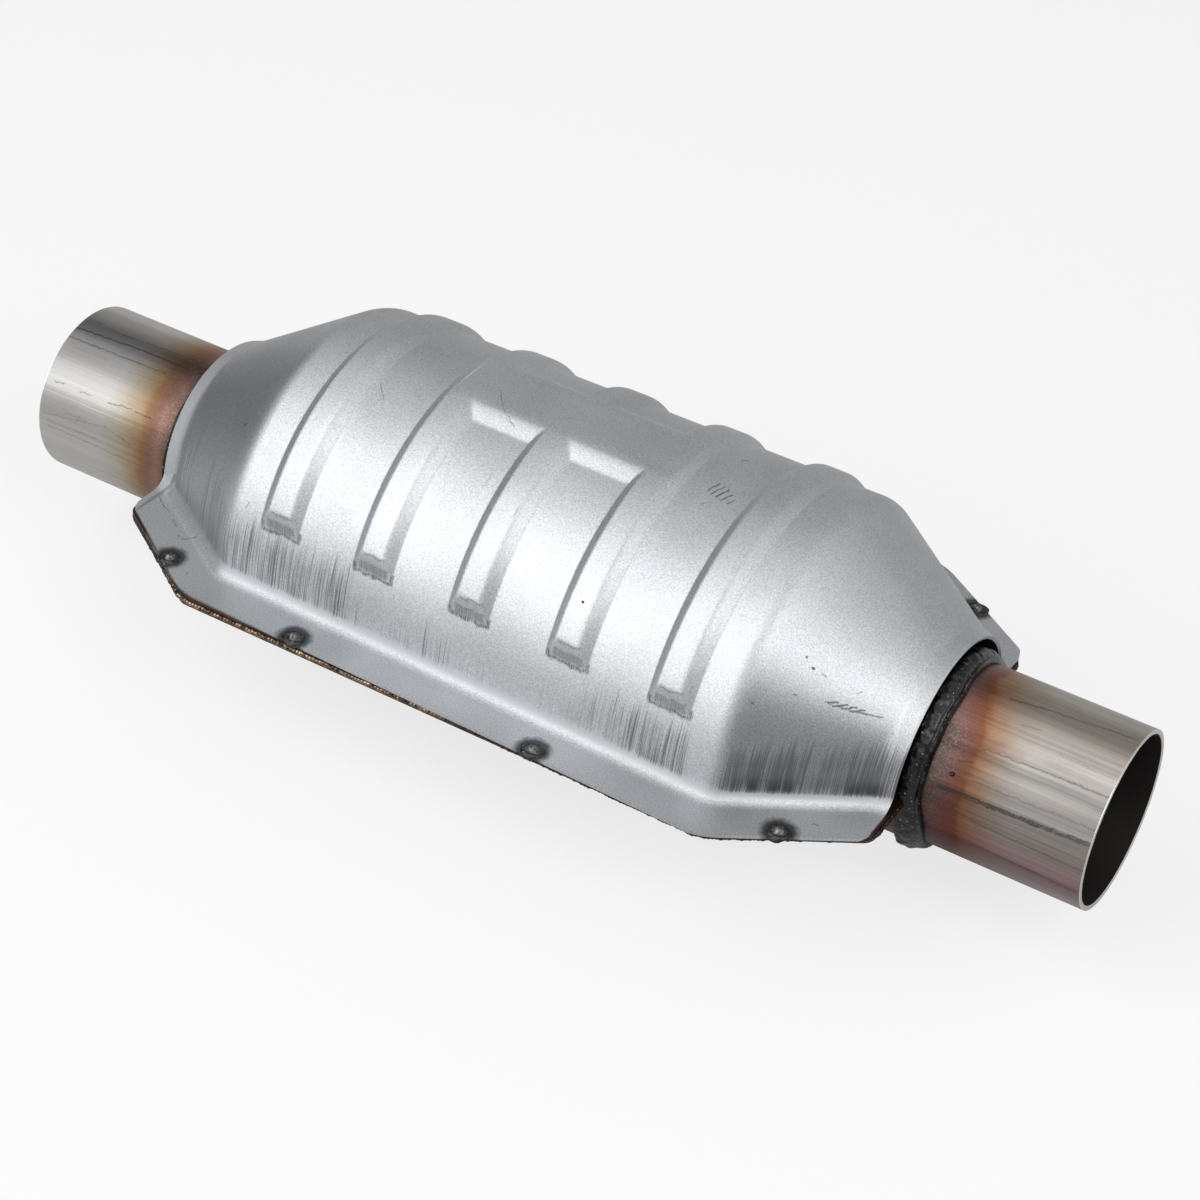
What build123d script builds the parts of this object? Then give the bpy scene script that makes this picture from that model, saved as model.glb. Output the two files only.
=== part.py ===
from build123d import *
import math
import os

# Universal catalytic converter for welding into an exhaust: two pressed body shells closed by a
# seam weld, two ceramic bricks in mats inside, a pipe stub at each end and one ribbed heat shield
# tacked on top. Millimetres. X runs along the gas flow, Z is up, and the origin is the middle of
# the inlet pipe's open end. The parts are drawn about the middle of the length and moved at the end.

# Ceramic bricks, their mats and the mats' end seals
BRICK_DIAMETER = 93.0
BRICK_LENGTH = 76.2
BRICK_SPACING = 12.0
CELL_PITCH = 6.2
CELL_OPENING = 3.8
BRICK_SKIN = 1.2
MAT_THICKNESS = 3.5
SEAL_WIDTH = 4.0
PACKING_CLEARANCE = 0.05

# Pipe stubs, 2.25 inch tube
PIPE_DIAMETER = 57.15
PIPE_WALL = 1.5
PIPE_STUB_LENGTH = 56.3
PIPE_INSERTION = 14.5
PIPE_CLEARANCE = 0.1

# Body shells
BODY_SHEET = 1.5
BODY_END_ROOM = 2.8
BODY_SHOULDER_BEND = 12.0
BODY_NECK_BEND = 10.0
BODY_FLANGE_BEND = 3.0
BODY_FLANGE_INSET = 1.2
GROOVE_DEPTH = 5.8
GROOVE_TOP_WIDTH = 9.2
GROOVE_FLOOR_WIDTH = 3.0
GROOVE_END_SETBACK = 10.0
CONE_ANGLE = 32.5

# Heat shield
SHIELD_SHEET = 1.0
AIR_GAP = 10.2
NECK_AIR_GAP = 4.4
SHOULDER_LEAD = 3.9
SHIELD_SHOULDER_BEND = 16.0
COLLAR_LENGTH = 5.0
COLLAR_FLARE = 1.7
COLLAR_BEND = 9.0
NECK_OVERHANG = 0.45
SHIELD_FLANGE_BEND = 4.0
FLANGE_LAND = 15.3
FLANGE_END_LAND = 15.9
FLANGE_CORNER_LEAD = 4.8
FLANGE_CORNER_BEND = 5.0

# Ribs round the shield and the raised crown that joins the middle ones
RIB_COUNT = 5
RIB_PITCH = 35.0
RIB_BASE_WIDTH = 14.4
RIB_CREST_WIDTH = 7.6
RIB_HEIGHT = 2.4
RIB_CREST_BEND = 2.5
RIB_END_SETBACK = 4.8
CROWN_WIDTH = 26.0
CROWN_SIDE_SLOPE = 0.94
CROWN_SIDE_DROP = 20.0
CROWN_SIDE_RISE = 5.0

# Welds. A pipe bead bites into the tube wall by its root depth.
WELD_CLEARANCE = 0.05
WELD_START_GAP = 0.6
PIPE_BEAD_HEIGHT = 2.9
PIPE_BEAD_ROOT_DEPTH = 0.4
PIPE_BEAD_FULLNESS = 0.72
PIPE_BEAD_CROWN_SHARE = 0.62
INLET_BEAD_LENGTH = 3.2
OUTLET_BEAD_LENGTH = 5.2
SEAM_BEAD_WIDTH = 1.3
SEAM_BEAD_HEIGHT = 2.6
TACK_RADIUS = 2.8
TACK_HEIGHT = 1.5
TACK_EDGE_INSET = 1.2
TACKS = [-107.0, -51.0, 36.0, 112.5]

# Sizes that follow from the ones above
brick_radius = BRICK_DIAMETER / 2
mat_inner_radius = brick_radius + PACKING_CLEARANCE
body_bore = brick_radius + MAT_THICKNESS
mat_outer_radius = body_bore - PACKING_CLEARANCE
body_radius = body_bore + BODY_SHEET
pipe_radius = PIPE_DIAMETER / 2
neck_radius = pipe_radius + PIPE_CLEARANCE + BODY_SHEET
cone_slope = math.tan(math.radians(CONE_ANGLE))

brick_end_x = BRICK_SPACING / 2 + BRICK_LENGTH
body_shoulder_x = brick_end_x + BODY_END_ROOM
neck_start_x = body_shoulder_x + (body_radius - neck_radius) / cone_slope

shield_radius = body_radius + AIR_GAP + SHIELD_SHEET
rim_radius = neck_radius + NECK_AIR_GAP + SHIELD_SHEET
collar_root_radius = rim_radius + COLLAR_FLARE
shield_shoulder_x = body_shoulder_x + SHOULDER_LEAD
collar_root_x = shield_shoulder_x + (shield_radius - collar_root_radius) / cone_slope
rim_x = collar_root_x + COLLAR_LENGTH
neck_end_x = rim_x + NECK_OVERHANG
pipe_mouth_x = neck_end_x + PIPE_STUB_LENGTH
middle_x = pipe_mouth_x

body_flange_top = BODY_SHEET
shield_flange_top = body_flange_top + SHIELD_SHEET
flange_half_width = shield_radius + FLANGE_LAND
flange_corner_x = shield_shoulder_x + FLANGE_CORNER_LEAD
flange_end_half_width = rim_radius + FLANGE_END_LAND
# Working lengths: a reach past everything, a cutting tool's overrun and how near counts as the same
above = 2 * shield_radius
OVERRUN = 5.0
SAME_LEVEL = 0.01
NEAR_EDGE = 0.5


def inset_outline(corners, depth):
    """The same outline one sheet further in: straight runs stay parallel and bends concentric."""
    moved = []
    for i, (x, r, bend) in enumerate(corners):
        last_x, last_r, _ = corners[max(i - 1, 0)]
        next_x, next_r, _ = corners[min(i + 1, len(corners) - 1)]
        out_angle = math.atan2(next_r - r, next_x - x)
        in_angle = math.atan2(r - last_r, x - last_x)
        if i == 0:
            in_angle = out_angle
        if i == len(corners) - 1:
            out_angle = in_angle
        mean = (in_angle + out_angle) / 2
        stretch = depth / math.cos((out_angle - in_angle) / 2)
        new_bend = bend + depth if out_angle > in_angle else bend - depth
        moved.append((x + stretch * math.sin(mean), r - stretch * math.cos(mean), new_bend))
    return moved


def turned(corners):
    """Solid turned about the X axis under an outline of (x, radius, bend) corners."""
    points = [(x, r) for x, r, _ in corners]
    bends = [bend for _, _, bend in corners[1:-1]]
    top = FilletPolyline(*points, radius=bends)
    sides = Polyline(points[-1], (points[-1][0], 0), (points[0][0], 0), points[0])
    return revolve(make_face(top + sides), Axis.X)


def mirrored_outline(half):
    """A full outline from the half that runs from the middle out to +X."""
    left = [(-x, r, bend) for x, r, bend in reversed(half)]
    return left + half


def ring_band(x, foot_width, face_width, foot_radius, face_radius, bend):
    """Ring of trapezoid section about the X axis, from foot_radius out or in to face_radius."""
    sink = math.copysign(BODY_SHEET + SHIELD_SHEET, foot_radius - face_radius)
    points = [(x - foot_width / 2, foot_radius + sink), (x - foot_width / 2, foot_radius),
              (x - face_width / 2, face_radius), (x + face_width / 2, face_radius),
              (x + foot_width / 2, foot_radius), (x + foot_width / 2, foot_radius + sink)]
    top = FilletPolyline(*points, radius=[0, bend, bend, 0])
    return revolve(make_face(top + Line(points[-1], points[0])), Axis.X)


def above_plane(solid, level):
    """What of a solid lies above the plane z = level."""
    half_space = Pos(0, 0, level + above / 2) * Box(4 * above, 4 * above, above)
    return solid & half_space


def within_width(solid, half_width):
    """What of a solid lies within half_width of the XZ plane, as a press draws it."""
    return solid & Box(4 * above, 2 * half_width, 4 * above)


def flange_plan(corner_x, half_width, end_x, end_half_width, bend):
    """Eight-sided outline of the flange, with rounded corners."""
    quarter = [(end_x, end_half_width), (corner_x, half_width)]
    left_top = [(-x, y) for x, y in reversed(quarter)]
    lower = [(-x, -y) for x, y in quarter + left_top]
    plan = make_face(Polyline(*(quarter + left_top + lower), close=True))
    return fillet(plan.vertices(), bend)


def slab(plan, bottom, top):
    """A flat plan given thickness between two levels."""
    return extrude(Pos(0, 0, bottom) * plan, top - bottom)


def rounded_foot(form, plan, level, end_x, bend):
    """Round the inner corner where a form's wall stands on its flange at z = level."""
    rim = (Pos(0, 0, level) * plan).face().outer_wire()

    def on_foot(edge):
        middle = edge @ 0.5
        flat = edge.bounding_box().size.Z < SAME_LEVEL and abs(middle.Z - level) < SAME_LEVEL
        inside = abs(middle.X) < end_x - SAME_LEVEL and rim.distance_to(middle) > NEAR_EDGE
        return flat and inside
    return fillet([edge for edge in form.edges() if on_foot(edge)], bend)


def pressed_sheet(outer, inner, plan, bottom, sheet, end_x, bend):
    """Sheet pressing between an outer and an inner form, with a flange round it."""
    top = bottom + sheet
    shell = above_plane(outer, bottom) + slab(plan, bottom, top)
    shell = rounded_foot(shell, plan, top, end_x, bend)
    bed = Rectangle(4 * above, 4 * above)
    hollow = above_plane(inner, bottom - sheet) + slab(bed, bottom - above, bottom)
    hollow = rounded_foot(hollow, bed, bottom, end_x + sheet, bend + sheet)
    return shell - hollow


def shield_outline():
    """Corners of the heat shield's outside, from the middle to the rim."""
    half = [(shield_shoulder_x, shield_radius, SHIELD_SHOULDER_BEND),
            (collar_root_x, collar_root_radius, COLLAR_BEND),
            (rim_x, rim_radius, 0)]
    return mirrored_outline(half)


def longer_ends(corners, extra):
    """An outline whose first and last runs go on past their ends."""
    (x0, r0, _), (x1, r1, _) = corners[0], corners[1]
    run = extra / math.hypot(x0 - x1, r0 - r1)
    first = (x0 + (x0 - x1) * run, r0 + (r0 - r1) * run, 0)
    last = (-first[0], first[1], 0)
    return [first] + corners[1:-1] + [last]


def shield_form(outline, inset):
    """The shield's turned form with its ribs and raised crown, pushed in by inset."""
    base = shield_radius - inset
    crest = base + RIB_HEIGHT
    side_angle = math.atan2(RIB_HEIGHT, (RIB_BASE_WIDTH - RIB_CREST_WIDTH) / 2)
    narrower = 2 * inset * math.tan(side_angle / 2)
    foot = RIB_BASE_WIDTH - narrower
    face = RIB_CREST_WIDTH - narrower
    form = turned(outline)
    for i in range(RIB_COUNT):
        x = (i - (RIB_COUNT - 1) / 2) * RIB_PITCH
        rib = ring_band(x, foot, face, base, crest, RIB_CREST_BEND - inset)
        form += within_width(above_plane(rib, 0), shield_radius - RIB_END_SETBACK - inset)
    crown = ring_band(0, foot + 2 * RIB_PITCH, face + 2 * RIB_PITCH, base, crest, RIB_CREST_BEND - inset)
    return form + (above_plane(crown, 0) & crown_sides(crest, inset))


def crown_sides(crest, inset):
    """Wedge along X that bounds the raised crown, with sloping sides."""
    half = CROWN_WIDTH / 2 - inset / 2
    crest_z = math.sqrt(crest ** 2 - half ** 2)
    low_z = crest_z - CROWN_SIDE_DROP
    high_z = crest_z + CROWN_SIDE_RISE
    low = half + CROWN_SIDE_DROP * CROWN_SIDE_SLOPE
    high = half - CROWN_SIDE_RISE * CROWN_SIDE_SLOPE
    section = Polyline((-low, low_z), (low, low_z), (high, high_z), (-high, high_z), close=True)
    return extrude(Plane.YZ * make_face(section), 2 * shield_radius, both=True)


def shield_plan():
    """Plan of the shield's flange."""
    return flange_plan(flange_corner_x, flange_half_width, rim_x, flange_end_half_width,
                       FLANGE_CORNER_BEND)


def body_plan(grow):
    """Plan of the body's flange, or of the seam bead round it when it grows."""
    side = grow - BODY_FLANGE_INSET
    return flange_plan(flange_corner_x + side / 2, flange_half_width + side, neck_end_x + grow,
                       flange_end_half_width + side, FLANGE_CORNER_BEND + grow)


def heat_shield():
    """The one ribbed heat shield, a single pressing."""
    outline = shield_outline()
    inner_outline = longer_ends(inset_outline(outline, SHIELD_SHEET), OVERRUN)
    outer = shield_form(outline, 0)
    inner = shield_form(inner_outline, SHIELD_SHEET)
    return pressed_sheet(outer, inner, shield_plan(), body_flange_top, SHIELD_SHEET, rim_x,
                         SHIELD_FLANGE_BEND)


def body_form(outline, inset):
    """The body's turned form, with the groove that keeps the two bricks apart."""
    base = body_radius - inset
    side_angle = math.atan2(GROOVE_DEPTH, (GROOVE_TOP_WIDTH - GROOVE_FLOOR_WIDTH) / 2)
    wider = 2 * inset * math.tan(side_angle / 2)
    groove = ring_band(0, GROOVE_TOP_WIDTH + wider, GROOVE_FLOOR_WIDTH + wider, base,
                       base - GROOVE_DEPTH, 0)
    return turned(outline) - within_width(groove, body_radius - GROOVE_END_SETBACK + inset)


def body_shell():
    """The upper body shell, a single pressing. The lower one is its mirror image."""
    half = [(body_shoulder_x, body_radius, BODY_SHOULDER_BEND),
            (neck_start_x, neck_radius, BODY_NECK_BEND),
            (neck_end_x, neck_radius, 0)]
    outline = mirrored_outline(half)
    inner_outline = longer_ends(inset_outline(outline, BODY_SHEET), OVERRUN)
    return pressed_sheet(body_form(outline, 0), body_form(inner_outline, BODY_SHEET), body_plan(0), 0,
                         BODY_SHEET, neck_end_x, BODY_FLANGE_BEND)


def pipe_stub(side, bead_length):
    """Tube that slips into the body's neck, at the side +1 or -1, with the weld's root in its wall."""
    ring = Circle(pipe_radius) - Circle(pipe_radius - PIPE_WALL)
    start = neck_end_x - PIPE_INSERTION
    tube = extrude(Plane.YZ.offset(start) * ring, pipe_mouth_x - start)
    melted = Circle(pipe_radius + PIPE_WALL) - Circle(pipe_radius - PIPE_BEAD_ROOT_DEPTH)
    tube -= extrude(Plane.YZ.offset(neck_end_x) * melted, bead_length + 2 * WELD_CLEARANCE)
    return tube if side > 0 else mirror(tube, Plane.YZ)


def pipe_bead(side, length):
    """Weld bead round the pipe against the end of the body's neck."""
    root = pipe_radius - PIPE_BEAD_ROOT_DEPTH + WELD_CLEARANCE
    surface = pipe_radius + WELD_CLEARANCE
    start = neck_end_x + WELD_CLEARANCE
    toe = start + length
    top = (start, surface + PIPE_BEAD_HEIGHT)
    crown = (start + length * PIPE_BEAD_CROWN_SHARE, surface + PIPE_BEAD_HEIGHT * PIPE_BEAD_FULLNESS)
    face = ThreePointArc(top, crown, (toe, surface))
    seat = Polyline((toe, surface), (toe, root), (start, root), top)
    bead = revolve(make_face(face + seat), Axis.X)
    return bead if side > 0 else mirror(bead, Plane.YZ)


def seam_bead(side):
    """Edge weld that joins the two body flanges along one side, from neck to neck."""
    start = WELD_CLEARANCE
    ring = body_plan(SEAM_BEAD_WIDTH) - body_plan(start)
    clear_of_neck = pipe_radius + WELD_CLEARANCE + PIPE_BEAD_HEIGHT + WELD_START_GAP
    reach = flange_half_width
    half = Pos(0, side * (clear_of_neck + reach)) * Rectangle(4 * above, 2 * reach)
    bead = slab(ring & half, -SEAM_BEAD_HEIGHT / 2, SEAM_BEAD_HEIGHT / 2)
    under_shield = Pos(0, 0, body_flange_top + above / 2) * Box(4 * above, 4 * above, above)
    return bead - under_shield


def flange_edge_y(x):
    """Half width of the shield's flange at a distance x from the middle."""
    beyond = abs(x) - flange_corner_x
    if beyond <= 0:
        return flange_half_width
    fall = (flange_half_width - flange_end_half_width) / (rim_x - flange_corner_x)
    return flange_half_width - beyond * fall


def tack_weld(x, side):
    """Lump of weld that laps over the shield's flange edge on to the body's flange."""
    y = side * (flange_edge_y(x) - TACK_EDGE_INSET)
    lump = scale(Sphere(1), by=(TACK_RADIUS, TACK_RADIUS, shield_flange_top + TACK_HEIGHT))
    lump = Pos(x, y, 0) * lump
    lump = above_plane(lump, WELD_CLEARANCE - BODY_SHEET)
    lump -= slab(shield_plan(), -above, shield_flange_top)
    return lump - slab(body_plan(SEAM_BEAD_WIDTH + WELD_CLEARANCE), -above, body_flange_top)


def brick(side):
    """Ceramic honeycomb brick, drawn with coarser cells than the real one."""
    cell_limit = brick_radius - BRICK_SKIN
    count = int(BRICK_DIAMETER / CELL_PITCH)
    cells = []
    half_cell = CELL_OPENING / 2
    for place in GridLocations(CELL_PITCH, CELL_PITCH, count, count):
        corner = math.hypot(abs(place.position.X) + half_cell, abs(place.position.Y) + half_cell)
        if corner < cell_limit:
            cells.append(place * Rectangle(CELL_OPENING, CELL_OPENING))
    section = Circle(brick_radius) - cells
    block = extrude(Plane.YZ.offset(BRICK_SPACING / 2) * section, BRICK_LENGTH)
    return block if side > 0 else mirror(block, Plane.YZ)


def sleeve(start, length, side):
    """Ring in the packing space between a brick and the body, used for mats and seals."""
    ring = Circle(mat_outer_radius) - Circle(mat_inner_radius)
    band = extrude(Plane.YZ.offset(start) * ring, length)
    return band if side > 0 else mirror(band, Plane.YZ)


def converter_parts():
    """Every piece by name, still centred on the middle of the length."""
    inner_seal_x = BRICK_SPACING / 2
    mat_x = inner_seal_x + SEAL_WIDTH + PACKING_CLEARANCE
    outer_seal_x = brick_end_x - SEAL_WIDTH
    mat_length = outer_seal_x - PACKING_CLEARANCE - mat_x
    upper = body_shell()
    parts = {
        "upper_heat_shield": heat_shield(),
        "upper_body_shell": upper,
        "lower_body_shell": mirror(upper, Plane.XY),
        "inlet_pipe": pipe_stub(-1, INLET_BEAD_LENGTH),
        "outlet_pipe": pipe_stub(1, OUTLET_BEAD_LENGTH),
        "inlet_pipe_weld": pipe_bead(-1, INLET_BEAD_LENGTH),
        "outlet_pipe_weld": pipe_bead(1, OUTLET_BEAD_LENGTH),
        "near_seam_weld": seam_bead(-1),
        "far_seam_weld": seam_bead(1),
    }
    for name, side in (("front", -1), ("rear", 1)):
        parts[f"{name}_catalyst_brick"] = brick(side)
        parts[f"{name}_support_mat"] = sleeve(mat_x, mat_length, side)
        parts[f"{name}_mat_inner_seal"] = sleeve(inner_seal_x, SEAL_WIDTH, side)
        parts[f"{name}_mat_outer_seal"] = sleeve(outer_seal_x, SEAL_WIDTH, side)
    for number, x in enumerate(TACKS, start=1):
        parts[f"near_tack_weld_{number}"] = tack_weld(x, -1)
        parts[f"far_tack_weld_{number}"] = tack_weld(x, 1)
    return parts


def main():
    """Write each piece to its own file, with the origin at the inlet's open end."""
    os.makedirs("parts", exist_ok=True)
    for name, shape in converter_parts().items():
        placed = Pos(middle_x, 0, 0) * shape
        solids = placed.solids()
        result = solids[0] if len(solids) == 1 else Compound(solids)
        export_step(result, f"parts/{name}.step")


main()
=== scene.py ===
import logging
import math
from dataclasses import dataclass
from enum import Enum
from typing import Dict, List, Optional, Sequence, Tuple, Union

import bmesh
import bpy
import numpy as np
from mathutils import Euler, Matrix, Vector


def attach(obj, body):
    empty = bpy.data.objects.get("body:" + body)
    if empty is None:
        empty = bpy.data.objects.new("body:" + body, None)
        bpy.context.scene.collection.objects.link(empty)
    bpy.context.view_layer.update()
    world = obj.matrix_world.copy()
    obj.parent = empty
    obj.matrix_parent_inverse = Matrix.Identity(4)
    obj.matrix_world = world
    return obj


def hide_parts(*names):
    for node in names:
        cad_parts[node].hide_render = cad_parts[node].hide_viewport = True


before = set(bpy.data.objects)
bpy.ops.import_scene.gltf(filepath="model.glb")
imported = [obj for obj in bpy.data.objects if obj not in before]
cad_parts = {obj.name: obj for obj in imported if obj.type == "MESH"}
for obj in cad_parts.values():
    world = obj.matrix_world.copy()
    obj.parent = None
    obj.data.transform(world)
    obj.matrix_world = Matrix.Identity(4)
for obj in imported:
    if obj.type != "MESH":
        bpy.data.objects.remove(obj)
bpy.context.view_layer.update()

logging.basicConfig(level=logging.INFO, format="%(message)s")
LOG = logging.getLogger("converter")

MM = 0.001
MIDDLE_X = 190.559  # middle of the length, in the row's frame, mm
BODY = "root"
NOISE = "ShaderNodeTexNoise"  # its inputs: place, an unused one, scale, detail, roughness
RANGE = "ShaderNodeMapRange"  # its inputs: value, from low, from high, to low, to high
MIX = "ShaderNodeMix"  # its inputs for colours: 0 the share, 6 and 7 the colours
BLEND = {"out": 2, "data_type": "RGBA"}
# Sums of numbers and of vectors, as a kind of node and its operation
(PLUS, MINUS, TIMES, OVER, TIMES_PLUS, LEAST, MOST, SIZE, NEAREST, BELOW, ABOVE, TURN, SOFT_LEAST,
 SOFT_MOST) = (
    f"ShaderNodeMath:{name}" for name in (
        "ADD", "SUBTRACT", "MULTIPLY", "DIVIDE", "MULTIPLY_ADD", "MINIMUM", "MAXIMUM", "ABSOLUTE", "ROUND",
        "LESS_THAN", "GREATER_THAN", "ARCTAN2", "SMOOTH_MIN", "SMOOTH_MAX"))
STRETCH, APART, MOVE, TINT, ALONG, GAP, LENGTH, UNIT = (
    f"ShaderNodeVectorMath:{name}" for name in (
        "SCALE", "SUBTRACT", "ADD", "MULTIPLY", "DOT_PRODUCT", "DISTANCE", "LENGTH", "NORMALIZE"))
Socket = bpy.types.NodeSocket
Points = np.ndarray
Row = Tuple[float, ...]
Tree = bpy.types.NodeTree
Material = bpy.types.Material
Piece = bpy.types.Object


class End(Enum):
    """The end of the converter, as the sign of X from the middle."""

    INLET = -1
    OUTLET = 1


class Side(Enum):
    """The side of the converter, as the sign of Y."""

    NEAR = -1
    FAR = 1


# Colour, nodes and meshes


def linear(hex_colour: str) -> Tuple[float, float, float, float]:
    """Linear RGBA of an sRGB hex colour.

    Args:
        hex_colour: Six hex digits, with or without a leading hash.

    Returns:
        Red, green, blue and alpha, linear, 0 to 1.
    """
    digits = hex_colour.lstrip("#")
    channels = [int(digits[i:i + 2], 16) / 255 for i in (0, 2, 4)]
    rgb = [c / 12.92 if c <= 0.04045 else ((c + 0.055) / 1.055) ** 2.4 for c in channels]
    return rgb[0], rgb[1], rgb[2], 1.0


def add(tree: Tree, kind: str, inputs: Union[Dict, Sequence] = (), out: Union[int, str] = 0,
        stops: Sequence[Tuple[float, str]] = (), **settings: object) -> Union[Socket, bpy.types.Node]:
    """Add one node, with its settings and its links.

    Args:
        tree: The node tree it goes into.
        kind: Blender's name for the kind of node, and after a colon its operation, if it has one.
        inputs: Its inputs in order, or by name or number. An output socket feeds the input, and an
            sRGB hex colour is turned linear.
        out: The output that is wanted.
        stops: Positions and hex colours, for a node with a colour ramp.
        settings: Properties of the node itself.

    Returns:
        The wanted output, or the node itself where it has no output.
    """
    kind, _, operation = kind.partition(":")
    node = tree.nodes.new(kind)
    if operation:
        node.operation = operation
    for name, value in settings.items():
        setattr(node, name, value)
    for name, value in (inputs if isinstance(inputs, dict) else dict(enumerate(inputs))).items():
        if isinstance(value, Socket):
            tree.links.new(value, node.inputs[name])
        else:
            is_hex = isinstance(value, str) and value.startswith("#")
            node.inputs[name].default_value = linear(value) if is_hex else value
    if stops:
        elements = node.color_ramp.elements
        while len(elements) > 1:
            elements.remove(elements[-1])
        elements[0].position = stops[0][0]
        elements[0].color = linear(stops[0][1])
        for position, shade in stops[1:]:
            elements.new(position).color = linear(shade)
    return node.outputs[out] if len(node.outputs) else node


def largest(tree: Tree, values: Sequence[Socket], kind: str = MOST) -> Socket:
    """The largest of several values, or the smallest with the kind LEAST.

    Args:
        tree: The node tree.
        values: Two or more values.
        kind: Which of them is wanted.

    Returns:
        The one value.
    """
    total = values[0]
    for value in values[1:]:
        total = add(tree, kind, (total, value))
    return total


def new_material(name: str, metallic: float) -> Tuple[Material, Tree, bpy.types.Node]:
    """An empty node material with its surface shader.

    Args:
        name: The material's name.
        metallic: How metallic it is, the same all over.

    Returns:
        The material, its tree and its Principled shader.
    """
    material = bpy.data.materials.new(name)
    material.use_nodes = True
    tree = material.node_tree
    tree.nodes.clear()
    surface = add(tree, "ShaderNodeBsdfPrincipled", {"Metallic": metallic}, out="BSDF")
    add(tree, "ShaderNodeOutputMaterial", {"Surface": surface})
    return material, tree, surface.node


def finish_with(tree: Tree, shader: bpy.types.Node, colour: Socket,
                rough: Union[Socket, float], height: Socket, bump_mm: float, strength: float) -> None:
    """Connect colour, roughness and bump to a material's shader.

    Args:
        tree: The material's tree.
        shader: Its Principled shader.
        colour: Base colour.
        rough: Roughness, a socket or one value.
        height: Bump height, 0 to 1.
        bump_mm: What a height of 1 stands for.
        strength: Strength of the bump.
    """
    normal = add(tree, "ShaderNodeBump", {"Strength": strength, "Distance": bump_mm * MM, "Height": height})
    tree.links.new(colour, shader.inputs["Base Color"])
    tree.links.new(normal, shader.inputs["Normal"])
    if isinstance(rough, Socket):
        tree.links.new(rough, shader.inputs["Roughness"])
    else:
        shader.inputs["Roughness"].default_value = rough


def mesh_object(name: str, points: Points, faces: Sequence[Sequence[int]],
                material: Optional[Material] = None, edges: Sequence[Tuple[int, int]] = ()) -> Piece:
    """A mesh object at the origin, with its place in its mesh.

    Args:
        name: The piece's name.
        points: Vertices in mm, measured from the middle of the length.
        faces: Vertex numbers of each face.
        material: Its material.
        edges: Vertex numbers of edges that have no face.

    Returns:
        The new object, linked to the scene.
    """
    placed = (np.asarray(points, float) + [MIDDLE_X, 0.0, 0.0]) * MM
    mesh = bpy.data.meshes.new(name)
    mesh.from_pydata(placed.tolist(), list(edges), [tuple(int(i) for i in f) for f in faces])
    mesh.update()
    piece = bpy.data.objects.new(name, mesh)
    bpy.context.scene.collection.objects.link(piece)
    if material is not None:
        mesh.materials.append(material)
    return piece


def set_attribute(piece: Piece, name: str, values: np.ndarray) -> None:
    """Store a value for each vertex, for the material to read."""
    layer = piece.data.attributes.new(name, "FLOAT", "POINT")
    layer.data.foreach_set("value", np.asarray(values, np.float32).reshape(-1))


def smooth(piece: Piece, sharp_degrees: float = 38.0) -> None:
    """Shade a piece smooth, with its real edges kept sharp."""
    piece.data.polygons.foreach_set("use_smooth", [True] * len(piece.data.polygons))
    piece.data.set_sharp_from_angle(angle=math.radians(sharp_degrees))


def settle(piece: Piece) -> None:
    """Turn a piece's modifiers into plain mesh, and remove them.

    Args:
        piece: The piece, whose mesh is replaced.
    """
    graph = bpy.context.evaluated_depsgraph_get()
    graph.update()
    mesh = bpy.data.meshes.new_from_object(piece.evaluated_get(graph))
    old = piece.data
    piece.modifiers.clear()
    piece.data = mesh
    bpy.data.meshes.remove(old)
    mesh.name = piece.name


def grow(piece: Piece, tree: Tree, values: Dict[str, object]) -> None:
    """Run a Geometry Nodes tree on a piece with the given inputs. settle() makes its result plain mesh.

    Args:
        piece: The piece.
        tree: The node group.
        values: Input name to value, set by each socket's identifier.
    """
    modifier = piece.modifiers.new(tree.name, "NODES")
    modifier.node_group = tree
    for socket in tree.interface.items_tree:
        if socket.in_out == "INPUT" and socket.name in values:
            modifier[socket.identifier] = values[socket.name]


def node_group(name: str, sizes: Dict[str, float]) -> Tuple[Tree, bpy.types.NodeOutputs]:
    """A Geometry Nodes tree with its named inputs.

    Args:
        name: The tree's name.
        sizes: Names of its sizes and their values.

    Returns:
        The tree and its group input's sockets.
    """
    tree = bpy.data.node_groups.new(name, "GeometryNodeTree")
    tree.is_modifier = True
    face = tree.interface
    face.new_socket("Geometry", in_out="INPUT", socket_type="NodeSocketGeometry")
    for label, size in sizes.items():
        face.new_socket(label, in_out="INPUT", socket_type="NodeSocketFloat").default_value = size
    face.new_socket("Material", in_out="INPUT", socket_type="NodeSocketMaterial")
    face.new_socket("Geometry", in_out="OUTPUT", socket_type="NodeSocketGeometry")
    return tree, add(tree, "NodeGroupInput").node.outputs


def close_group(tree: Tree, geometry: Socket, material: Socket) -> None:
    """End a Geometry Nodes tree: real geometry with its material.

    Args:
        tree: The node group.
        geometry: What it has made.
        material: Its finish.
    """
    real = add(tree, "GeometryNodeRealizeInstances", (geometry,))
    dressed = add(tree, "GeometryNodeSetMaterial", {"Geometry": real, "Material": material})
    add(tree, "NodeGroupOutput", {"Geometry": dressed})


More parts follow.
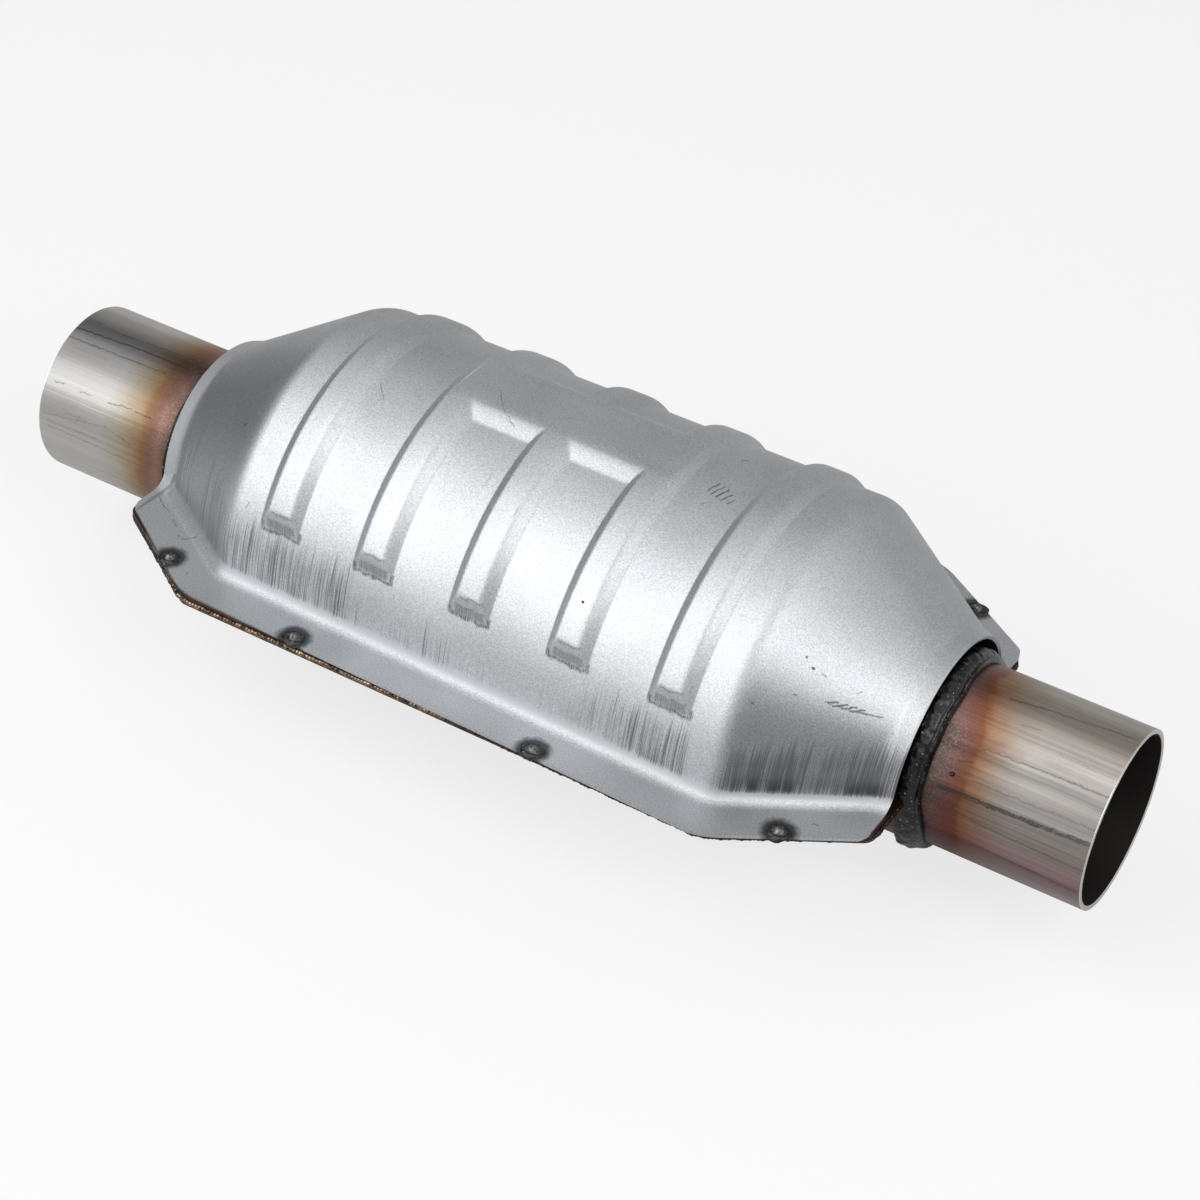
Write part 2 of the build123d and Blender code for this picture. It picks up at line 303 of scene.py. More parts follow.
def grid_faces(rows: int, columns: int, wrap_rows: bool = False,
               wrap_columns: bool = False) -> List[Tuple[int, int, int, int]]:
    """Quads over a grid of vertices stored row by row.

    Args:
        rows: Number of rows.
        columns: Vertices in a row.
        wrap_rows: Whether the last row joins the first.
        wrap_columns: Whether each row closes on itself.

    Returns:
        The quads.
    """
    i = np.arange(rows if wrap_rows else rows - 1)[:, None]
    j = np.arange(columns if wrap_columns else columns - 1)[None, :]
    i2, j2 = (i + 1) % rows, (j + 1) % columns
    quads = np.stack(np.broadcast_arrays(i * columns + j, i * columns + j2,
                                         i2 * columns + j2, i2 * columns + j), -1)
    return [tuple(q) for q in quads.reshape(-1, 4).tolist()]


def full_turn(count: int) -> np.ndarray:
    """Evenly spaced angles round a whole turn, in radians."""
    return np.linspace(0, 2 * np.pi, count, endpoint=False)


def ease(value: np.ndarray, low: float, high: float) -> np.ndarray:
    """Smooth step from 0 at low to 1 at high."""
    t = np.clip((value - low) / (high - low), 0.0, 1.0)
    return t * t * (3 - 2 * t)


def wander(angle: np.ndarray, seed: int, lobes: Sequence[int]) -> np.ndarray:
    """A closed random wave of about unit size, for uneven hand work.

    Args:
        angle: Angles in radians.
        seed: Seed of the random phases.
        lobes: How many waves there are to a turn, one entry for each wave.

    Returns:
        The wave's value at each angle.
    """
    draw = np.random.default_rng(seed)
    total = np.zeros_like(angle, dtype=float)
    for lobe in lobes:
        total += draw.uniform(0.5, 1.0) * np.sin(lobe * angle + draw.uniform(0, 2 * np.pi))
    return total / math.sqrt(len(lobes))


def outline_radius(corners: Sequence[Tuple[float, float, float]], x: np.ndarray) -> np.ndarray:
    """Radius of a turned outline with rounded bends.

    Args:
        corners: (x, radius, bend) from left to right, mm.
        x: Where the radius is wanted.

    Returns:
        The radius at each x.
    """
    line = [corners[0][:2]]
    for before, here, after in zip(corners, corners[1:], corners[2:]):
        p, a, b = (np.array(c[:2], float) for c in (here, before, after))
        back, on = (a - p) / np.linalg.norm(a - p), (b - p) / np.linalg.norm(b - p)
        half = math.acos(float(np.clip(back @ on, -1, 1))) / 2
        reach = here[2] / math.tan(half)
        centre = p + (back + on) / np.linalg.norm(back + on) * here[2] / math.sin(half)
        start, stop = p + back * reach - centre, p + on * reach - centre
        a0, a1 = math.atan2(start[1], start[0]), math.atan2(stop[1], stop[0])
        turn = (a1 - a0 + math.pi) % (2 * math.pi) - math.pi
        for t in np.linspace(0, 1, 24):
            angle = a0 + turn * t
            line.append((centre[0] + here[2] * math.cos(angle), centre[1] + here[2] * math.sin(angle)))
    line.append(corners[-1][:2])
    xs, rs = zip(*line)
    return np.interp(x, xs, rs)


# Marks that a material draws


@dataclass(frozen=True)
class Mark:
    """A scratch, scuff or speck on a developed surface: a line, along and round it, in mm.

    Attributes:
        x0, y0, x1, y1: Its two ends.
        width: Its width.
        depth: How dark it is, 0 to 1.
        blur: How far its edge fades.
    """

    x0: float
    y0: float
    x1: float
    y1: float
    width: float
    depth: float
    blur: float = 0.15


def draw_marks(tree: Tree, place: Socket, marks: Sequence[Row]) -> Socket:
    """Mask of several marks, broken up a little by noise.

    Args:
        tree: The material's tree.
        place: Where a point is on the developed surface, mm.
        marks: The values of each mark.

    Returns:
        The mask, 0 to 1.
    """
    shake = add(tree, NOISE, (place, 0.0, 0.55, 3.0), out="Color")
    centred = add(tree, APART, (shake, (0.5, 0.5, 0.5)))
    shift = add(tree, STRETCH, {0: centred, "Scale": 1.6})
    moved = add(tree, MOVE, (place, shift))
    flat = add(tree, TINT, (moved, (1.0, 1.0, 0.0)))
    drawn = []
    for mark in (Mark(*row) for row in marks):
        across, up = mark.x1 - mark.x0, mark.y1 - mark.y0
        length = max(math.hypot(across, up), 0.01)
        unit = (across / length, up / length, 0.0)
        off = add(tree, APART, (flat, (mark.x0, mark.y0, 0.0)))
        run = add(tree, ALONG, (off, unit), out="Value")
        held = add(tree, "ShaderNodeClamp", {"Value": run, "Min": 0.0, "Max": length})
        nearest = add(tree, STRETCH, {0: unit, "Scale": held})
        gap = add(tree, GAP, (off, nearest), out="Value")
        drawn.append(add(tree, RANGE, (gap, mark.width / 2, mark.width / 2 + mark.blur, mark.depth, 0.0)))
    return largest(tree, drawn)


def mid_place(tree: Tree) -> Dict[str, Socket]:
    """Where a point is, for a material.

    Args:
        tree: The material's tree.

    Returns:
        object: object coordinates in metres; x, y, z: mm from the middle of the length;
        angle: radians above the near side.
    """
    where = add(tree, "ShaderNodeTexCoord", out="Object")
    in_mm = add(tree, STRETCH, {0: where, "Scale": 1 / MM})
    parts = add(tree, "ShaderNodeSeparateXYZ", (in_mm,)).node.outputs
    toward = add(tree, TIMES, (parts[1], -1.0))
    return {"object": where, "x": add(tree, MINUS, (parts[0], MIDDLE_X)),
            "y": parts[1], "z": parts[2],
            "angle": add(tree, TURN, (parts[2], toward))}


def developed(tree: Tree, place: Dict[str, Socket], radius: float) -> Socket:
    """Distance along the part and round it at a radius, mm, as a vector."""
    around = add(tree, TIMES, (place["angle"], radius))
    return add(tree, "ShaderNodeCombineXYZ", (place["x"], around))


# Finishes


@dataclass(frozen=True)
class AluminisedSteel:
    """Hot-dip aluminium coat on pressed steel: satin silver with a fine spangle, scuffed by the die."""

    light: str = "#c8cbce"
    dark: str = "#9da0a3"
    # Grey painted as shade over the lit bend and collar
    bend_shade: str = "#b0b2b5"
    scuff: str = "#5f5f63"
    soot: str = "#2b2a2a"
    metallic: float = 0.85
    roughness: float = 0.46
    grain_mm: float = 0.5
    streak_mm: float = 0.3
    rib_pitch: float = 35.0
    rib_foot_z: float = 23.3
    rib_crest_z: float = 29.8
    round_radius: float = 62.7
    scratches: Tuple[Row, ...] = (
        (-27, 96.3, -21, 88.8, 0.15, 0.5), (-21, 88.8, -14, 84.3, 0.15, 0.5),
        (49.2, 112.0, 50.6, 113.6, 0.4, 0.6),
        (49.5, 91.0, 51.0, 95.5, 0.4, 0.75), (51.0, 90.0, 52.8, 95.2, 0.4, 0.75),
        (52.9, 89.4, 54.6, 94.2, 0.45, 0.8), (55.0, 89.0, 56.6, 92.6, 0.4, 0.7),
        (57.2, 88.8, 58.4, 91.2, 0.4, 0.65), (50.6, 84.5, 52.0, 86.5, 0.15, 0.45),
        (109.6, 42.6, 112.4, 44.2, 0.45, 0.8), (111.8, 42.2, 114.6, 44.4, 0.5, 0.85),
        (113.8, 42.3, 116.8, 44.8, 0.45, 0.8), (116.0, 42.6, 119.4, 45.2, 0.5, 0.8),
        (118.4, 43.6, 124.0, 45.4, 0.4, 0.75), (110.0, 42.4, 120.0, 43.8, 0.2, 0.6),
        (-98.0, 52.5, -97.4, 53.2, 0.5, 0.8), (-84.0, 28.0, -83.6, 30.0, 0.4, 0.5),
        (100.4, 53.7, 100.5, 53.9, 0.5, 0.85), (103.1, 51.2, 103.5, 51.3, 0.7, 0.9),
        (106.0, 50.8, 107.0, 50.5, 0.35, 0.7), (92.4, 34.1, 92.9, 34.3, 0.5, 0.8),
        (101.7, 41.0, 102.4, 41.1, 0.4, 0.6), (127.9, 40.5, 128.1, 40.6, 0.45, 0.8),
        (116.0, 50.0, 116.6, 51.6, 0.3, 0.4), (-12.0, 62.0, -11.6, 68.0, 0.12, 0.4),
        (2.5, 57.0, 2.9, 61.0, 0.12, 0.4), (-61.6, 82.2, -57.0, 77.0, 0.15, 0.6),
        (-129.5, 9.5, -128.0, 15.5, 0.9, 0.55, 0.5), (-131.5, 3.5, -129.5, 8.0, 0.8, 0.5, 0.5),
        (-127.5, 12.0, -126.0, 21.0, 0.6, 0.45, 0.5))
    flange_scratches: Tuple[Row, ...] = (
        (-130.5, -40.2, -127.7, -42.8, 0.25, 0.6), (-127.7, -42.8, -122.9, -45.3, 0.2, 0.6),
        (-119.5, -47.4, -115.7, -50.5, 0.2, 0.55), (-110.2, -54.5, -106.5, -51.2, 0.25, 0.6),
        (-112.4, -53.8, -112.2, -53.7, 0.5, 0.6), (-98.2, -67.7, -98.0, -67.6, 0.5, 0.6),
        (118.0, -57.0, 119.6, -56.6, 0.5, 0.6))
    tack_places: Tuple[Tuple[float, float], ...] = ()

    def foot_scuffs(self, tree: Tree, place: Dict[str, Socket], lines: Socket) -> Socket:
        """Scuffed outline where each rib's upright end meets the sheet.

        Args:
            tree: The material's tree.
            place: Where a point is.
            lines: Fine streaks that break the outline up.

        Returns:
            The mask, 0 to 1.
        """
        shake = add(tree, NOISE, (place["object"], 0.0, 380.0, 3.0), out="Color")
        shift = add(tree, "ShaderNodeSeparateXYZ", (shake,)).node.outputs
        height = add(tree, TIMES_PLUS, (shift[2], 2.4, place["z"]))
        near = add(tree, OVER, (place["x"], self.rib_pitch))
        whole = add(tree, NEAREST, (near,))
        held = add(tree, "ShaderNodeClamp", {"Value": whole, "Min": -2.0, "Max": 2.0})
        middle = add(tree, TIMES_PLUS, (held, -self.rib_pitch, place["x"]))
        plain_off = add(tree, SIZE, (middle,))
        off = add(tree, TIMES_PLUS, (shift[0], 1.6, plain_off))
        bands = []
        # Distance from the rib's middle and height of each scuff, with its half sizes, and its depth
        for off_mm, half_off, z_mm, half_z, depth in (
                (3.6, 4.0, self.rib_foot_z + 1.2, 0.25, 0.95), (7.7, 0.3, self.rib_foot_z + 2.2, 1.1, 0.9),
                (1.0, 4.6, self.rib_foot_z + 3.2, 1.6, 0.5), (2.4, 1.8, self.rib_crest_z + 1.2, 0.05, 0.7)):
            gaps = []
            for value, centre, half in ((off, off_mm, half_off), (height, z_mm, half_z)):
                apart = add(tree, MINUS, (value, centre))
                gap = add(tree, SIZE, (apart,))
                gaps.append(add(tree, RANGE, (gap, half, half + 0.6, depth, 0.0)))
            bands.append(largest(tree, gaps, LEAST))
        outline = largest(tree, bands)
        worn = add(tree, RANGE, (lines, 0.36, 0.56, 0.26))
        return add(tree, TIMES, (outline, worn))

    def burnt_rings(self, tree: Tree, place: Dict[str, Socket]) -> Socket:
        """Burnt coat round each tack weld, which fades outwards.

        Args:
            tree: The material's tree.
            place: Where a point is, as mid_place gives it.

        Returns:
            The mask, 0 to 1.
        """
        plan = add(tree, "ShaderNodeCombineXYZ", (place["x"], place["y"]))
        gaps = [add(tree, GAP, (plan, (x, y, 0.0)), out="Value") for x, y in self.tack_places]
        near = largest(tree, gaps, LEAST)
        uneven = add(tree, NOISE, (place["object"], 0.0, 450.0, 2.0))
        shifted = add(tree, TIMES_PLUS, (uneven, 1.8, near))
        return add(tree, RANGE, (shifted, 5.3, 7.4, 0.88, 0.0))

    def material(self) -> Material:
        """Build the material, which reads the shield's draw, rub and painted shade attributes.

        Returns:
            The material.
        """
        material, tree, shader = new_material("hot_dip_aluminised_steel", self.metallic)
        place = mid_place(tree)
        where = place["object"]
        grain = add(tree, NOISE, (where, 0.0, 1 / (self.grain_mm * MM), 2.0, 0.8))
        cloud = add(tree, NOISE, (where, 0.0, 30.0, 3.0))
        share = add(tree, TIMES, (grain, 0.78))
        tone = add(tree, TIMES_PLUS, (cloud, 0.22, share))
        spangle = add(tree, RANGE, (tone, 0.35, 0.65))
        base = add(tree, MIX, {0: spangle, 6: self.dark, 7: self.light}, **BLEND)
        # The die slid along the wall, so the streaks are fine across X and long up the wall
        fine_place = add(tree, "ShaderNodeMapping", {"Vector": where,
                                                     "Scale": (1 / (self.streak_mm * MM), 34.0, 34.0)})
        lines = add(tree, NOISE, (fine_place, 0.0, 1.0, 3.0, 0.6))
        wide_place = add(tree, "ShaderNodeMapping", {"Vector": where, "Scale": (260.0, 36.0, 36.0)})
        clumps = add(tree, NOISE, (wide_place, 0.0, 1.0, 2.0))
        mixed = add(tree, TIMES_PLUS, (clumps, 0.4, lines))
        draw = add(tree, "ShaderNodeAttribute", out="Fac", attribute_name="draw_wear")
        need = add(tree, RANGE, (draw, 0.0, 1.2, 0.96, 0.5))
        over = add(tree, MINUS, (mixed, need))
        streaks = add(tree, RANGE, (over, 0.0, 0.24, 0.0, 0.85))
        # The flange bend and the collar are rubbed rougher, with speckled edges; their flat grey there is
        # painted shade that tones down the lamps' highlight
        rub_and_shade_level = add(tree, "ShaderNodeAttribute", out="Fac", attribute_name="polish")
        sparkle = add(tree, NOISE, (where, 0.0, 900.0, 3.0, 0.8))
        speckled_bend_shade = add(tree, TIMES_PLUS, (sparkle, 0.9, rub_and_shade_level))
        bend_shade_share = add(tree, RANGE, (speckled_bend_shade, 0.8, 1.3))
        bend_shaded = add(tree, MIX, {0: bend_shade_share, 6: base, 7: self.bend_shade}, **BLEND)
        # Painted shade, which darkens the colour where the shield's painted shade attribute is set
        dull = add(tree, "ShaderNodeAttribute", out="Fac", attribute_name="dull")
        kept = add(tree, MINUS, (1.0, dull))
        shaded = add(tree, STRETCH, {0: bend_shaded, "Scale": kept})
        feet = self.foot_scuffs(tree, place, lines)
        plan = add(tree, "ShaderNodeCombineXYZ", (place["x"], place["y"]))
        low = add(tree, BELOW, (place["z"], 6.0))
        on_flange = add(tree, TIMES, (draw_marks(tree, plan, self.flange_scratches), low))
        around = developed(tree, place, self.round_radius)
        dark = largest(tree, [streaks, feet, on_flange, draw_marks(tree, around, self.scratches)])
        marked = add(tree, MIX, {0: dark, 6: shaded, 7: self.scuff}, **BLEND)
        # Sparse black specks from handling
        cells = add(tree, "ShaderNodeTexVoronoi", {"Vector": where, "Scale": 75.0}, out="Color")
        chosen = add(tree, "ShaderNodeSeparateColor", {"Color": cells})
        rare = add(tree, ABOVE, (chosen, 0.62))
        dot = add(tree, BELOW, (cells.node.outputs["Distance"], 0.034))
        specks = add(tree, TIMES, (rare, dot))
        ground_in = add(tree, RANGE, (draw, 1.2, 1.7, 0.0, 0.62))
        patchy = add(tree, RANGE, (clumps, 0.4, 0.58, 0.25))
        grime = add(tree, TIMES, (ground_in, patchy))
        burnt = largest(tree, [specks, grime, self.burnt_rings(tree, place)])
        colour = add(tree, MIX, {0: burnt, 6: marked, 7: self.soot}, **BLEND)
        plain = add(tree, RANGE, (tone, 0.0, 1.0, self.roughness - 0.05, self.roughness + 0.07))
        worn = add(tree, TIMES_PLUS, (dark, 0.14, plain))
        rough = add(tree, TIMES_PLUS, (rub_and_shade_level, 0.2, worn))
        finish_with(tree, shader, colour, rough, tone, 0.25, 0.3)
        return material


@dataclass(frozen=True)
class PressedStainless:
    """Ferritic stainless sheet, deep drawn: duller and browner than the tube, tinted by the welds."""

    light: str = "#a39d96"
    dark: str = "#77726d"
    tint: str = "#4a3229"
    metallic: float = 0.85
    roughness: float = 0.36

    def material(self) -> Material:
        """Build the material, tinted towards the flange edges and the necks.

        Returns:
            The material.
        """
        material, tree, shader = new_material("pressed_stainless", self.metallic)
        place = mid_place(tree)
        where = place["object"]
        stretch = add(tree, "ShaderNodeMapping", {"Vector": where, "Scale": (900.0, 60.0, 60.0)})
        lines = add(tree, NOISE, (stretch, 0.0, 1.0, 3.0))
        cloud = add(tree, NOISE, (where, 0.0, 40.0, 4.0))
        tone = add(tree, PLUS, (lines, cloud))
        spread = add(tree, RANGE, (tone, 0.78, 1.22))
        base = add(tree, MIX, {0: spread, 6: self.dark, 7: self.light}, **BLEND)
        warm = []
        for value, low, high in ((place["x"], 108.0, 128.0), (place["y"], 68.0, 76.0)):
            far = add(tree, SIZE, (value,))
            warm.append(add(tree, RANGE, (far, low, high)))
        patchy = add(tree, TIMES, (largest(tree, warm), cloud))
        share = add(tree, RANGE, (patchy, 0.1, 0.45))
        colour = add(tree, MIX, {0: share, 6: base, 7: self.tint}, **BLEND)
        finish_with(tree, shader, colour, self.roughness, lines, 0.3, 0.14)
        return material


@dataclass(frozen=True)
class TubeStainless:
    """Welded stainless exhaust tube: lines along it, painted shade and highlight round it, heat tint by the
    neck, soot inside.

    Attributes:
        bands: Angles above the near side, degrees, and the tones there, which are painted shade and painted
            highlight along with real dark lines.
        tint: Oxide colours from the weld outwards.
        scratches: For each its x and angle at both ends, its width and its depth.
    """

    name: str
    tint_edge_mm: float
    tint_tilt_mm: float
    mark_depth: float
    mark_blur: float
    bands: Tuple[Tuple[float, str], ...]
    tint: Tuple[Tuple[float, str], ...]
    scratches: Tuple[Row, ...]
    line_contrast: float = 0.24
    soot: str = "#332f2e"
    cut: str = "#d2cfca"
    mark_colour: str = "#353231"
    metallic: float = 0.9
    roughness: float = 0.3
    radius: float = 28.575
    bore: float = 27.2
    mouth_mm: float = 190.559
    line_mm: float = 0.8

    def material(self) -> Material:
        """Build the material from the angle round the tube and the distance along it.

        Returns:
            The material.
        """
        material, tree, shader = new_material(self.name, self.metallic)
        place = mid_place(tree)
        where = place["object"]
        turn = add(tree, RANGE, (place["angle"], -math.pi, math.pi))
        ring = add(tree, "ShaderNodeCombineXYZ", {1: place["y"], 2: place["z"]})
        radius = add(tree, LENGTH, (ring,), out="Value")
        far = add(tree, SIZE, (place["x"],))
        along = add(tree, "ShaderNodeMapping", {"Vector": where, "Scale": (9.0, 1 / (self.line_mm * MM),
                                                                           1 / (self.line_mm * MM))})
        lines = add(tree, NOISE, (along, 0.0, 1.0, 4.0, 0.7))
        cloud = add(tree, NOISE, (where, 0.0, 70.0, 4.0, 0.6))
        wobble = add(tree, TIMES_PLUS, (cloud, 0.012, turn))
        # Tones by angle round the tube: painted shade and painted highlight, with real dark lines among them
        angle_shade_and_tone = add(tree, "ShaderNodeValToRGB", (wobble,),
                   stops=[((angle + 180) / 360, shade) for angle, shade in self.bands])
        fine = add(tree, RANGE, (lines, 0.3, 0.7, 1 - self.line_contrast, 1 + self.line_contrast * 0.85))
        lined = add(tree, STRETCH, {0: angle_shade_and_tone, "Scale": fine})
        # Oxide colours in order from the weld: grey purple, purple brown, orange brown, straw, bare
        uneven = add(tree, TIMES_PLUS, (cloud, 9.0, add(tree, TIMES, (lines, 2.2))))
        tilt = add(tree, RANGE, (place["angle"], 0.75, 1.7, -5.6, self.tint_tilt_mm - 5.6))
        level = add(tree, PLUS, (uneven, tilt))
        shifted = add(tree, PLUS, (far, level))
        heat = add(tree, RANGE, (shifted, self.tint_edge_mm - 12.0, self.tint_edge_mm + 16.0))
        tint = add(tree, "ShaderNodeValToRGB", (heat,), stops=self.tint)
        tinted = add(tree, TINT, (lined, tint))
        # Pale specks by the weld are painted glints
        glitter = add(tree, NOISE, (where, 0.0, 1400.0, 2.0, 0.8))
        near_weld = add(tree, RANGE, (heat, 0.1, 0.38, 1.0, 0.0))
        glint_share = add(tree, RANGE, (glitter, 0.5, 0.75, 0.0, 0.2))
        weld_glints = add(tree, TIMES, (glint_share, near_weld))
        glinted = add(tree, MIX, {0: weld_glints, 6: tinted, 7: "#d9b4a4"}, **BLEND)
        per_degree = self.radius * math.pi / 180
        rows = [(x0, a0 * per_degree, x1, a1 * per_degree, width, self.mark_depth * depth, self.mark_blur)
                for x0, a0, x1, a1, width, depth in self.scratches]
        marks = draw_marks(tree, developed(tree, place, self.radius), rows)
        grainy = add(tree, RANGE, (glitter, 0.3, 0.55, 0.45))
        dark = add(tree, TIMES, (marks, grainy))
        marked = add(tree, MIX, {0: dark, 6: glinted, 7: self.mark_colour}, **BLEND)
        inside = add(tree, BELOW, (radius, self.bore))
        sooty = add(tree, MIX, {0: inside, 6: marked, 7: self.soot}, **BLEND)
        # The sawn rim is bare, bright metal
        sawn = add(tree, ABOVE, (far, self.mouth_mm - 0.3))
        colour = add(tree, MIX, {0: sawn, 6: sooty, 7: self.cut}, **BLEND)
        plain = add(tree, RANGE, (heat, 0.0, 1.0, self.roughness + 0.1, self.roughness))
        rough = add(tree, TIMES_PLUS, (largest(tree, [inside, dark]), 0.35, plain))
        finish_with(tree, shader, colour, rough, lines, 0.2, 0.16)
        return material


@dataclass(frozen=True)
class WeldSlag:
    """Burnt weld metal under a glassy skin: near black and glossy, greyer on its lip and lump tops, partly as
    painted highlight, with painted white glints.
    """

    name: str
    dark: str = "#050506"
    pale: str = "#1d1d1f"
    # Colour of the painted glints
    white: str = "#c4c4c4"
    lump_mm: float = 1.5
    metallic: float = 0.0
    roughness: float = 0.26
    pits: float = 0.55

    def material(self) -> Material:
        """Build the material, which reads the bead's lip attribute.

        Returns:
            The material.
        """
        material, tree, shader = new_material(self.name, self.metallic)
        place = add(tree, "ShaderNodeTexCoord", out="Object")
        lumps = add(tree, NOISE, (place, 0.0, 1 / (self.lump_mm * MM), 5.0, 0.65))
        lip = add(tree, "ShaderNodeAttribute", out="Fac", attribute_name="lip")
        # Grey on the lip and the raised lumps: the lip's real grey, and painted highlight on the lump tops
        raised = add(tree, TIMES_PLUS, (lip, 0.3, lumps))
        pale = add(tree, RANGE, (raised, 0.62, 0.86, 0.0, 0.85))
        skin = add(tree, MIX, {0: pale, 6: self.dark, 7: self.pale}, **BLEND)
        # White specks are painted glints
        grit = add(tree, NOISE, (place, 0.0, 1000.0, 3.0, 0.7))
        painted_glints = add(tree, RANGE, (grit, 0.64, 0.7, 0.0, 0.8))
        colour = add(tree, MIX, {0: painted_glints, 6: skin, 7: self.white}, **BLEND)
        finish_with(tree, shader, colour, self.roughness, lumps, 0.5, self.pits)
        shader.inputs["Specular IOR Level"].default_value = 0.3
        shader.inputs["Coat Weight"].default_value = 0.25
        shader.inputs["Coat Roughness"].default_value = 0.15
        return material


@dataclass(frozen=True)
class Mottled:
    """Two tones in patches, with a bump from the same noise: weld tint, ceramic, fibre and wire."""

    name: str
    dark: str
    light: str
    patch_mm: float
    metallic: float
    roughness: float
    bump_mm: float = 0.2
    contrast: float = 0.25
    light_from_mm: float = -1000.0
    dark_from_mm: float = 1000.0

    def material(self) -> Material:
        """Build the material.

        Returns:
            The material.
        """
        material, tree, shader = new_material(self.name, self.metallic)
        place = mid_place(tree)
        patch = add(tree, NOISE, (place["object"], 0.0, 1 / (self.patch_mm * MM), 4.0, 0.65))
        spread = add(tree, RANGE, (patch, 0.5 - self.contrast / 2, 0.5 + self.contrast))
        less = add(tree, RANGE, (place["x"], self.dark_from_mm - 12.0, self.dark_from_mm, 1.0, 0.1))
        more = add(tree, RANGE, (place["x"], self.light_from_mm - 10.0, self.light_from_mm, 0.1, 1.0))
        held = add(tree, TIMES, (less, more))
        share = add(tree, TIMES, (spread, held))
        colour = add(tree, MIX, {0: share, 6: self.dark, 7: self.light}, **BLEND)
        finish_with(tree, shader, colour, self.roughness, patch, self.bump_mm, 0.6)
        return material


# The sub-assemblies


